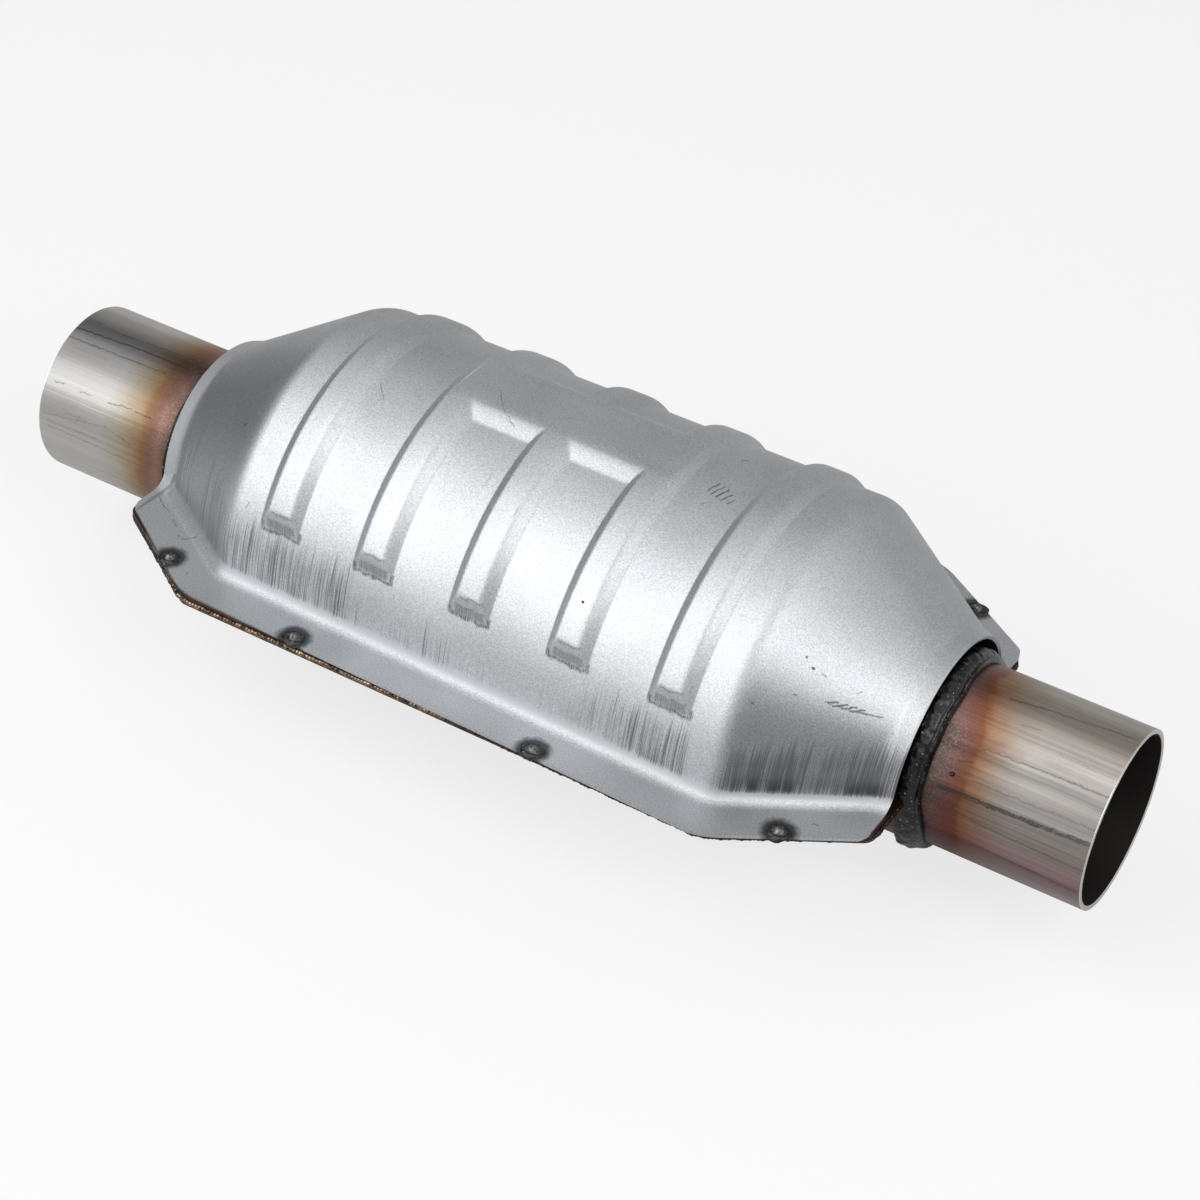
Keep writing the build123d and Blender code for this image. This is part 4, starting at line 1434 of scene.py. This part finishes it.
@dataclass(frozen=True)
class Studio:
    """Camera, lamps, floor and background."""

    camera_mm: Tuple[float, float, float] = (548.530, -632.393, 548.804)
    camera_turn: Tuple[float, float, float] = (52.62179, -3.63515, 31.44645)
    lens: float = 86.48
    floor_z: float = -51.55
    diffuse_sky: float = 0.28
    floor_glow: float = 0.74

    def build(self) -> None:
        """Add the camera, the lamps, the floor and the world."""
        self.camera()
        self.world()
        self.floor()
        for name, shade, ends, low, high in (
                ("inlet_flag", "#2c2c2e", ((-1300, -850), (-1300, 850)), -20, 1150),
                ("back_flag", "#cfcfcf", ((-1500, 1150), (900, 1150)), 150, 2300),
                ("low_flag", "#1c1c1e", ((450, -1750), (1850, -500)), -20, 720)):
            self.card(name, shade, ends, low, high)
        for name, place, size, power in (
                ("key", (-0.42, -1.06, 1.04), (1.2, 1.85), 18.1),
                ("right", (1.39, -0.66, 1.17), (0.9, 0.9), 10.0)):
            self.lamp(name, place, size, power)

    def camera(self) -> None:
        """The photograph's viewpoint."""
        data = bpy.data.cameras.new("camera")
        data.lens = self.lens
        data.sensor_width = 36.0
        camera = bpy.data.objects.new("camera", data)
        camera.location = Vector(self.camera_mm) * MM
        camera.rotation_euler = Euler([math.radians(a) for a in self.camera_turn], "XYZ")
        bpy.context.scene.collection.objects.link(camera)
        bpy.context.scene.camera = camera

    def lamp(self, name: str, place: Row, size: Tuple[float, float], power: float) -> None:
        """A soft box that faces the middle of the part.

        Args:
            name: The lamp's name.
            place: Where it stands, m.
            size: Its width and height, m.
            power: Its power, W.
        """
        data = bpy.data.lights.new(name, "AREA")
        data.shape = "RECTANGLE"
        data.size, data.size_y = size
        data.energy = power
        lamp = bpy.data.objects.new(name, data)
        lamp.location = place
        aim = Vector((MIDDLE_X * MM, 0.0, 0.0)) - Vector(place)
        lamp.rotation_euler = aim.to_track_quat("-Z", "Y").to_euler()
        bpy.context.scene.collection.objects.link(lamp)

    def card(self, name: str, shade: str, ends: Sequence[Row], low: float, high: float) -> None:
        """A photographer's upright card, dark or pale, which the metal reflects and the camera doesn't see.

        Args:
            name: The card's name.
            shade: Its colour.
            ends: Plan of its two upright edges, mm.
            low: Height of its lower edge.
            high: Height of its upper edge.
        """
        material, _, shader = new_material(name, 0.0)
        shader.inputs["Base Color"].default_value = linear(shade)
        shader.inputs["Roughness"].default_value = 0.9
        a, b = ends
        corners = np.array([(*a, low), (*b, low), (*b, high), (*a, high)], float)
        card = mesh_object(name, corners, [(0, 1, 2, 3)], material)
        card.visible_camera = False
        card.visible_shadow = False

    def world(self) -> None:
        """Soft grey light, with white where the camera, metal or glass look past the part."""
        world = bpy.data.worlds.new("studio")
        bpy.context.scene.world = world
        world.use_nodes = True
        tree = world.node_tree
        tree.nodes.clear()
        rays = add(tree, "ShaderNodeLightPath").node.outputs
        seen = largest(tree, [rays["Is Camera Ray"], rays["Is Glossy Ray"], rays["Is Transmission Ray"]])
        level = add(tree, RANGE, (seen, 0.0, 1.0, self.diffuse_sky, 1.0))
        light = add(tree, "ShaderNodeBackground", {"Color": (1.0, 1.0, 1.0, 1.0), "Strength": level})
        add(tree, "ShaderNodeOutputWorld", {"Surface": light})

    def floor(self) -> None:
        """A pale floor that stays white for the camera but keeps the shadow."""
        material, tree, shader = new_material("floor", 0.0)
        shader.inputs["Base Color"].default_value = linear("#e9e9e9")
        shader.inputs["Roughness"].default_value = 0.9
        shader.inputs["Specular IOR Level"].default_value = 0.0
        rays = add(tree, "ShaderNodeLightPath").node.outputs
        glow = add(tree, "ShaderNodeEmission", {"Strength": self.floor_glow})
        seen = add(tree, "ShaderNodeBsdfDiffuse", {"Color": "#8c8c8c"})
        both = add(tree, "ShaderNodeAddShader", (seen, glow))
        lift = add(tree, "ShaderNodeMixShader", (rays["Is Camera Ray"], shader.outputs[0], both))
        end = next(n for n in tree.nodes if n.type == "OUTPUT_MATERIAL")
        tree.links.new(lift, end.inputs["Surface"])
        half = 4000.0
        corners = [(-half, -half, self.floor_z), (half, -half, self.floor_z),
                   (half, half, self.floor_z), (-half, half, self.floor_z)]
        mesh_object("floor", np.array(corners), [(0, 1, 2, 3)], material)


# The tubes. Their tones round the tube are painted shade and highlight, among real dark lines. The inlet has
# one bright band, scratches below it and dark die lines above
INLET_TUBE = TubeStainless(
    name="inlet_tube_stainless", tint_edge_mm=150.0, tint_tilt_mm=1.0, mark_depth=0.78, mark_blur=0.2,
    line_contrast=0.12,
    bands=(
        (-180, "#aeaca8"), (-40, "#bab8b4"), (0, "#bcbbb7"), (14, "#aeaca8"), (25, "#979591"),
        (31, "#868582"), (35, "#92918f"), (50, "#908f8d"), (56, "#868583"), (66, "#91908e"),
        (72, "#858485"), (77, "#6a696b"), (85, "#656363"), (90, "#898784"), (97, "#b4b0ac"),
        (112, "#bfbbb6"), (150, "#aeaca8"), (180, "#aeaca8")),
    tint=(
        (0.0, "#8f7468"), (0.14, "#c09a8a"), (0.25, "#b4877a"), (0.375, "#c4956f"), (0.46, "#d6b48c"),
        (0.61, "#e6d4b8"), (0.75, "#f4ebdb"), (1.0, "#ffffff")),
    scratches=(
        (-190, 86, -174, 84, 0.3, 0.6), (-174, 84, -146, 87, 0.3, 0.7),
        (-190.6, 74.6, -165, 77.2, 0.55, 0.9), (-165, 77.2, -148, 77.8, 0.5, 0.85),
        (-190, 66.1, -150, 67.8, 0.35, 0.75), (-186.6, 34.0, -183, 34.5, 0.25, 0.5),
        (-176, 33.6, -171.5, 34.2, 0.2, 0.4), (-164.5, 34.6, -155.3, 37, 0.2, 0.55),
        (-153.3, 35.7, -146.9, 35.6, 0.22, 0.6), (-188.6, 10.3, -163.7, 18.0, 0.25, 0.4),
        (-180, 16.5, -171, 17.0, 0.5, 0.3), (-175, 13, -174, 17.5, 0.3, 0.5),
        (-163.7, 18, -151.7, 13.5, 0.3, 0.4), (-187, 5.7, -166, 7.4, 0.3, 0.35),
        (-186.9, 2.7, -147.3, 0.8, 0.3, 0.4), (-170, 58, -150, 60, 0.2, 0.3),
        (-186, 60, -172, 61, 0.2, 0.3)))
# The outlet is warmer, with one scuffed dark line and reddish streaks low down
OUTLET_TUBE = TubeStainless(
    name="outlet_tube_stainless", tint_edge_mm=151.0, tint_tilt_mm=5.0, mark_depth=1.0, mark_blur=0.3,
    bands=(
        (-180, "#8f8a85"), (-40, "#877b7a"), (-22, "#807072"), (-13, "#745a5c"), (-8, "#957c7f"),
        (0, "#92827f"), (10, "#89817e"), (16, "#8e8783"), (21, "#847f7b"), (25, "#94908c"),
        (31, "#7a7674"), (35, "#787471"), (40, "#7b7875"), (45, "#605d5b"), (50, "#797673"),
        (55, "#7a7572"), (61, "#a59f9a"), (72, "#b2aaa4"), (80, "#a9a097"), (90, "#9b948c"),
        (104, "#a8a198"), (180, "#8f8a85")),
    tint=(
        (0.0, "#95827f"), (0.14, "#a88e8a"), (0.32, "#b67d70"), (0.39, "#bf7f5c"), (0.46, "#dcae8a"),
        (0.68, "#eedfcf"), (1.0, "#ffffff")),
    scratches=(
        (143, 17.4, 158.6, 18.2, 1.3, 0.75), (158.6, 18.2, 173.9, 19, 1.2, 0.8),
        (173.9, 19, 190, 20.6, 1.0, 0.7), (151.2, 84.8, 162.8, 88.4, 0.5, 0.6),
        (162.8, 88.4, 180.5, 92.3, 0.7, 0.45), (180.5, 92.3, 189, 94.6, 0.5, 0.4),
        (150, 5.6, 168, 3.4, 0.3, 0.35), (168, 3.4, 190.5, 2.5, 0.35, 0.35),
        (149, -12, 189, -17, 0.5, 0.35), (158, 70, 164, 72, 0.2, 0.3), (150, 48, 190, 50, 0.25, 0.35),
        (152, 28, 190, 29.5, 0.3, 0.3), (172, 62, 189, 61, 0.2, 0.25), (146, 36, 150, 38, 0.25, 0.4)))


def dress_solids() -> None:
    """Give the CAD nodes that stay their own finishes."""
    finishes = {
        "body_shell": PressedStainless().material(),
        # Needled ceramic fibre: matt, off white and woolly
        "support_mat": Mottled("ceramic_fibre_blanket", "#b9b1a2", "#ddd6c8", 0.8, 0.0, 0.95, 0.3).material(),
        # Knitted steel wire: dark and bright in fine loops
        "seal": Mottled("knitted_steel_wire", "#5a5854", "#9b9892", 0.4, 0.9, 0.4, 0.2).material()}
    for name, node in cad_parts.items():
        for part, finish in finishes.items():
            if part in name:
                if not node.material_slots:
                    node.data.materials.append(finish)
                for slot in node.material_slots:
                    slot.material = finish
                LOG.info("dressed %s in %s", name, finish.name)


def main() -> None:
    """Build the converter and its studio."""
    dress_solids()
    shield = HeatShield()
    tacks = shield.tack_points(Side.NEAR) + shield.tack_points(Side.FAR)
    pieces = [shield.build(AluminisedSteel(tack_places=tuple(tacks)).material())]
    # Oxidised mild weld metal: dark grey, duller than the slag, with a paler rim, painted white glints and
    # pits
    tack_metal = WeldSlag("oxidised_tack_weld", "#232324", "#7d7d7d", "#b8b8b8", lump_mm=1.1, metallic=0.5,
                          roughness=0.34, pits=0.5).material()
    # Stainless edge weld: dark brown, and straw tinted from light_from_mm to dark_from_mm
    seam_metal = Mottled("heat_tinted_weld", "#2c2523", "#b39a80", 1.5, 0.85, 0.3, contrast=0.2,
                         light_from_mm=-98.0, dark_from_mm=8.0).material()
    for side in Side:
        pieces += shield.build_tacks(side, tack_metal)
        pieces.append(SeamWeld(side).build(seam_metal))
    slag = WeldSlag("weld_slag").material()
    for end, tube, bead_length in ((End.INLET, INLET_TUBE, 3.2), (End.OUTLET, OUTLET_TUBE, 4.6)):
        stub = PipeStub(end, bead_length)
        pieces.append(stub.build_tube(tube.material()))
        pieces.append(stub.build_bead(slag))
    # Extruded and fired ceramic: matt, sandy brown
    ceramic = Mottled("extruded_cordierite", "#8d7a62", "#b09a7c", 3.0, 0.0, 0.85, 0.1).material()
    pieces += [CatalystBrick(end).build(ceramic) for end in End]
    Studio().build()
    for piece in pieces:
        LOG.info("built %s, %d faces", piece.name, len(piece.data.polygons))
    bpy.context.scene.view_settings.view_transform = "Standard"


if __name__ == "__main__":
    main()
